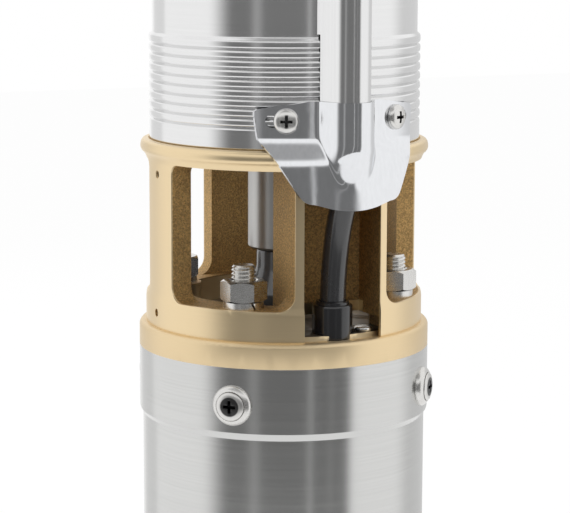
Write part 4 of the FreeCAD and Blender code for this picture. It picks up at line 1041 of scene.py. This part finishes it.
# Coupling and slinger
class PUMP_OT_coupling(PumpStep, bpy.types.Operator):
    """Turns the shaft coupling and the rubber sand slinger below it"""

    bl_idname = "pump.coupling"
    bl_label = "Coupling and slinger"

    def execute(self, context):
        low, top = FACE + 23.9, FACE + 71.9
        sleeve = turned("shaft_coupling_piece", [
            (8.0, low), (11.3, low), (12, low + 0.7), (12, top - 0.7), (11.3, top), (7.0, top)], 96)
        dress(sleeve, "shaft_steel", body="pump_rotor")
        low, high = FACE + 5.2, FACE + 23.4
        slinger = turned("sand_slinger_piece", [
            (7.7, low), (11.5, low), (12.0, low + 0.25), (12.3, low + 0.8), (12.3, low + 3.6),
            (12.1, low + 4.2), (9.6, low + 11.4), (9.25, low + 12.6), (9.2, high - 1.0),
            (9.0, high - 0.3), (8.6, high), (7.7, high)], 96)
        dress(slinger, "black_rubber", body="motor_rotor")
        return {"FINISHED"}


# Pump casing
class PUMP_OT_casing(PumpStep, bpy.types.Operator):
    """Turns the pump casing with its rolled ribs"""

    bl_idname = "pump.casing"
    bl_label = "Pump casing"

    def execute(self, context):
        crest, root, pitch, grooves = 44.5, 43.75, 3.03, 9
        first = RIM + 7.0
        outline = [(42.0, RIM), (44.2, RIM), (44.45, RIM + 0.25), (crest, RIM + 0.7),
                   (crest, first - 1.0)]
        for i in range(grooves):
            groove = first + i * pitch
            step = pitch * (1.1 if i == grooves - 1 else 1.0)
            outline += [(crest - 0.12, groove - 0.55), (root + 0.18, groove - 0.22), (root, groove),
                        (root + 0.18, groove + 0.22), (crest - 0.12, groove + 0.55),
                        (crest + 0.03, groove + 0.95), (crest + 0.05, groove + step / 2),
                        (crest + 0.03, groove + step - 0.95)]
        end = first + (grooves + 0.1) * pitch
        outline += [(crest - 0.15, end - 0.5), (43.65, end + 0.1), (43.52, end + 0.5),
                    (CASING_WALL, end + 1.2), (CASING_WALL, CASING_TOP - 0.3), (43.3, CASING_TOP),
                    (42.0, CASING_TOP)]
        casing = turned("pump_casing_piece", outline, 256)
        carve(casing, *rods("hole", 2.0, -4, 6, guard_screw_places(CLAMP_SCREWS, STRAP), 32))
        dress(casing, "casing_steel", angle=40)
        return {"FINISHED"}


# Cable guard, strap and clamp
def guard_outline(grow, foot):
    """One side of the guard's section and back: sloped flanks and a round crown."""
    crown, centre = 6.6 + grow, 47.2
    wide = 9.2 + grow
    run = math.hypot(wide, centre - foot)
    lean = math.asin(crown / run) + math.atan2(centre - foot, wide)
    top = [(crown * math.sin(a), -centre - crown * math.cos(a))
           for a in [lean * (1 - i / 12) for i in range(25)]]
    return [(wide, -foot)] + top + [(-wide, -foot)]


class PUMP_OT_guard(PumpStep, bpy.types.Operator):
    """Makes the pressed cable guard, the strap at its top and the screws"""

    bl_idname = "pump.guard"
    bl_label = "Cable guard"

    def execute(self, context):
        low, high = RIM + 0.8, GUARD_TOP
        guard = slab("cable_guard_piece", guard_outline(0, 42.5), low, high)
        inner = slab("inner", guard_outline(-0.6, 42.4), low - 1, high + 1)
        ribs = turned("ribs", [(0, low - 2), (44.6, low - 2), (44.6, RIM + 36), (HUG, RIM + 36),
                               (HUG, high + 2), (0, high + 2)], 256)
        carve(guard, inner, ribs)
        soften(guard, 0.15, 2, 40)
        dress(guard, "guard_steel")
        self.strap()
        self.screws()
        return {"FINISHED"}

    def strap(self):
        low, high = STRAP - 6, STRAP + 6
        band = turned("guard_strap_piece", [(HUG, low), (44.5, low), (44.5, high), (HUG, high)], 256)
        reach, half = 60, 0.672
        across, away = reach * math.sin(half), -reach * math.cos(half)
        sector = slab("sector", [(0, 0), (-across, away), (0, -1.4 * reach), (across, away)],
                      low - 1, high + 1)
        carve(band, sector, operation="INTERSECT")
        carve(band, slab("crown", guard_outline(1.1, 42.5), low, high), operation="UNION")
        hollow = slab("hollow", guard_outline(0.1, 42.4), low - 1, high + 1)
        carve(band, hollow, rod("inside", HUG, low - 1, high + 1, 256))
        soften(band, 0.15, 2, 40)
        dress(band, "clamp_steel")

    def screws(self):
        made = []
        for level, seat in SCREW_SEATS:
            screw = turned("guard_screws_piece", [
                (0, -5), (1.95, -5), (1.95, seat), (3.75, seat), (4.0, seat + 0.25), (4.0, seat + 0.8),
                (3.8, seat + 1.35), (3.2, seat + 1.85), (2.2, seat + 2.2), (1.1, seat + 2.37),
                (0, seat + 2.4)], 64)
            carve(screw, *cross(4.4, 2.2, seat + 2.4))
            soften(screw, 0.1, 2, 40)
            made.append(copies(screw, guard_screw_places(level)))
        dress(join("guard_screws_piece", made), "screw_steel", "guard_screw_steel")


class PUMP_OT_clamp(PumpStep, bpy.types.Operator):
    """Presses the clamp over the guard's foot: ears, a step out over the rim, a lip and a hump"""

    bl_idname = "pump.clamp"
    bl_label = "Guard clamp"

    def execute(self, context):
        sheet = context.scene.pump_sizes.clamp_sheet
        top, low = RIM + 15.4, RIM - 18.4
        width, spare = 60, 3
        clear()
        bpy.ops.mesh.primitive_grid_add(x_subdivisions=190, y_subdivisions=120, size=1.0)
        plate = named("guard_clamp_piece")
        for vertex in plate.data.vertices:
            x = vertex.co.x * width
            z = (top + low) / 2 + vertex.co.y * (top - low + spare)
            vertex.co = Vector((x, self.pressed(x, z), z)) * MM
        edit(plate)
        tidy_mesh()
        if plate.data.polygons[0].normal.y > 0:
            edit(plate)
            bpy.ops.mesh.select_all(action="SELECT")
            bpy.ops.mesh.flip_normals()
            bpy.ops.object.mode_set(mode="OBJECT")
        modify(plate, "SOLIDIFY", thickness=sheet, offset=-1.0)
        carve(plate, self.blank(top, low), operation="INTERSECT", folded=True)
        carve(plate, *self.slots())
        soften(plate, 0.12, 2, 50)
        dress(plate, "clamp_steel", angle=35)
        return {"FINISHED"}

    def pressed(self, x, z):
        """Where the sheet's outer face lies at a place across and up, in millimetres.

        The plate follows the casing, flares over the rim and flares less below it. The hump has the
        guard's round crown and steep flanks, and below the rim it runs out into a broad tongue.
        """
        def ramp(t):
            return (t + math.hypot(t, 1.3)) / 2

        step_top, step_low = RIM + 3.5, RIM - 3.1
        flare, less = 0.652, 0.521
        radius = 45.6 + flare * ramp(step_top - z) - less * ramp(step_low - z)
        plate = math.sqrt(max(radius ** 2 - x ** 2, 1.0))
        crown, centre, shoulder, steepness = 7.75, 47.2, 6.75, 2.15
        flank = max(abs(x) - shoulder, 0.0)
        hump = centre + math.sqrt(crown ** 2 - min(abs(x), shoulder) ** 2) - flank * steepness
        down = RIM + 2.8 - z
        if down > 0:
            rise = centre + crown - 0.275 * down - radius
            tongue = plate + rise - 0.02 * x ** 2 - 0.0007 * x ** 4
            blend = min(1.0, 0.16 * down)
            hump += (tongue - hump) * blend ** 2 * (3 - 2 * blend)
        softness = 0.6
        return -(plate + hump + math.hypot(plate - hump, softness)) / 2

    def blank(self, top, low):
        """The sheet's outline seen from the slot's side."""
        half = [(12.0, top), (27.8, top - 2.4), (26.8, RIM + 3.5), (16.3, low + 2.4)]
        points = [Vector(corner) for corner in half + [(-x, z) for x, z in reversed(half)]]
        outline = self.rounded(points, {1: 2.0, 3: 5.0, 4: 5.0, 6: 2.0}, low)
        return settle(slab("blank", outline, 30, 70), Matrix.Rotation(math.radians(90), 4, "X"))

    def rounded(self, points, radii, low):
        """The outline with its ears' and lip's corners rounded and its foot bowed."""
        outline = []
        for i, corner in enumerate(points):
            if i not in radii:
                outline.append(corner)
                continue
            back = (points[i - 1] - corner).normalized()
            ahead = (points[i + 1] - corner).normalized()
            reach = radii[i] / math.tan(back.angle(ahead) / 2)
            start, end = corner + back * reach, corner + ahead * reach
            for t in [j / 8 for j in range(9)]:
                outline.append(start.lerp(corner, t).lerp(corner.lerp(end, t), t))
            if i == 3:  # the bowed foot comes after the lip's first corner
                outline += [(x, low + 2.4 * (x / 13.0) ** 2) for x in [8 - 2 * j for j in range(9)]]
        return outline

    def slots(self):
        """The ears' oblong holes for the screws."""
        tools = []
        for side, place in zip((1, -1), guard_screw_places(CLAMP_SCREWS)):
            outline = []
            for middle, start in ((4.5, -0.5), (0, 0.5)):
                outline += [(side * (middle + 2.05 * math.cos(a)), 2.05 * math.sin(a))
                            for a in [math.pi * (i / 10 + start) for i in range(11)]]
            tools.append(settle(slab("slot", outline, -6, 9), place))
        return tools


# Head and foot, outside the photograph
class PUMP_OT_head(PumpStep, bpy.types.Operator):
    """Dresses copies of the discharge head with its wrench flats and of the check valve"""

    bl_idname = "pump.head"
    bl_label = "Discharge head"

    def execute(self, context):
        dress(copy_of("discharge_head"), "brass", "turned_brass")
        dress(copy_of("valve_cage"), "valve_plastic")
        dress(copy_of("valve_seat_ring"), "seal_rubber")
        dress(copy_of("valve_poppet"), "valve_plastic", body="valve")
        spring = dress(copy_of("valve_spring"), "screw_steel")
        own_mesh(spring)
        return {"FINISHED"}


class PUMP_OT_inner_parts(PumpStep, bpy.types.Operator):
    """Gives every solid that is still shown the finish of its material slot"""

    bl_idname = "pump.inner_parts"
    bl_label = "Inner parts"

    def execute(self, context):
        slots = {part["node"]: part["material_slot"] for part in frame["record"]["subparts"]}
        for node, solid in frame["nodes"].items():
            if solid.hide_render:
                continue
            solid.data.materials.clear()
            solid.data.materials.append(finishes[slots[node]])
        return {"FINISHED"}


class PUMP_PT_panel(bpy.types.Panel):
    """Lists the pump's pieces in the sidebar"""

    bl_idname = "PUMP_PT_panel"
    bl_label = "Borehole pump"
    bl_space_type = "VIEW_3D"
    bl_region_type = "UI"
    bl_category = "Pump"

    def draw(self, context):
        for group in [getattr(context.scene, name) for name in GROUPS]:
            box = self.layout.box()
            for name in group.bl_rna.properties.keys():
                if name not in ("rna_type", "name"):
                    box.prop(group, name)
        for step in STEPS_IN_ORDER:
            self.layout.operator(step.bl_idname)


GROUPS = {"pump_sizes": PUMP_PG_sizes, "pump_steel": PUMP_PG_steel, "pump_brass": PUMP_PG_brass,
          "pump_rubber": PUMP_PG_rubber}
STEPS_IN_ORDER = [
    PUMP_OT_stage, PUMP_OT_lead, PUMP_OT_motor_shell, PUMP_OT_shell_screws, PUMP_OT_connector,
    PUMP_OT_flange_fasteners, PUMP_OT_suction_bracket, PUMP_OT_coupling, PUMP_OT_casing, PUMP_OT_guard,
    PUMP_OT_clamp, PUMP_OT_head, PUMP_OT_inner_parts,
]


def register():
    for group in GROUPS.values():
        bpy.utils.register_class(group)
    for name, group in GROUPS.items():
        setattr(bpy.types.Scene, name, bpy.props.PointerProperty(type=group))
    for step in STEPS_IN_ORDER:
        bpy.utils.register_class(step)
    bpy.utils.register_class(PUMP_PT_panel)


def unregister():
    bpy.utils.unregister_class(PUMP_PT_panel)
    for step in reversed(STEPS_IN_ORDER):
        bpy.utils.unregister_class(step)
    for name, group in GROUPS.items():
        delattr(bpy.types.Scene, name)
        bpy.utils.unregister_class(group)


def main():
    register()
    clear()
    make_finishes(bpy.context.scene)
    for step in STEPS_IN_ORDER:
        area, name = step.bl_idname.split(".")
        getattr(getattr(bpy.ops, area), name)()
    clear()


if __name__ == "__main__":
    main()
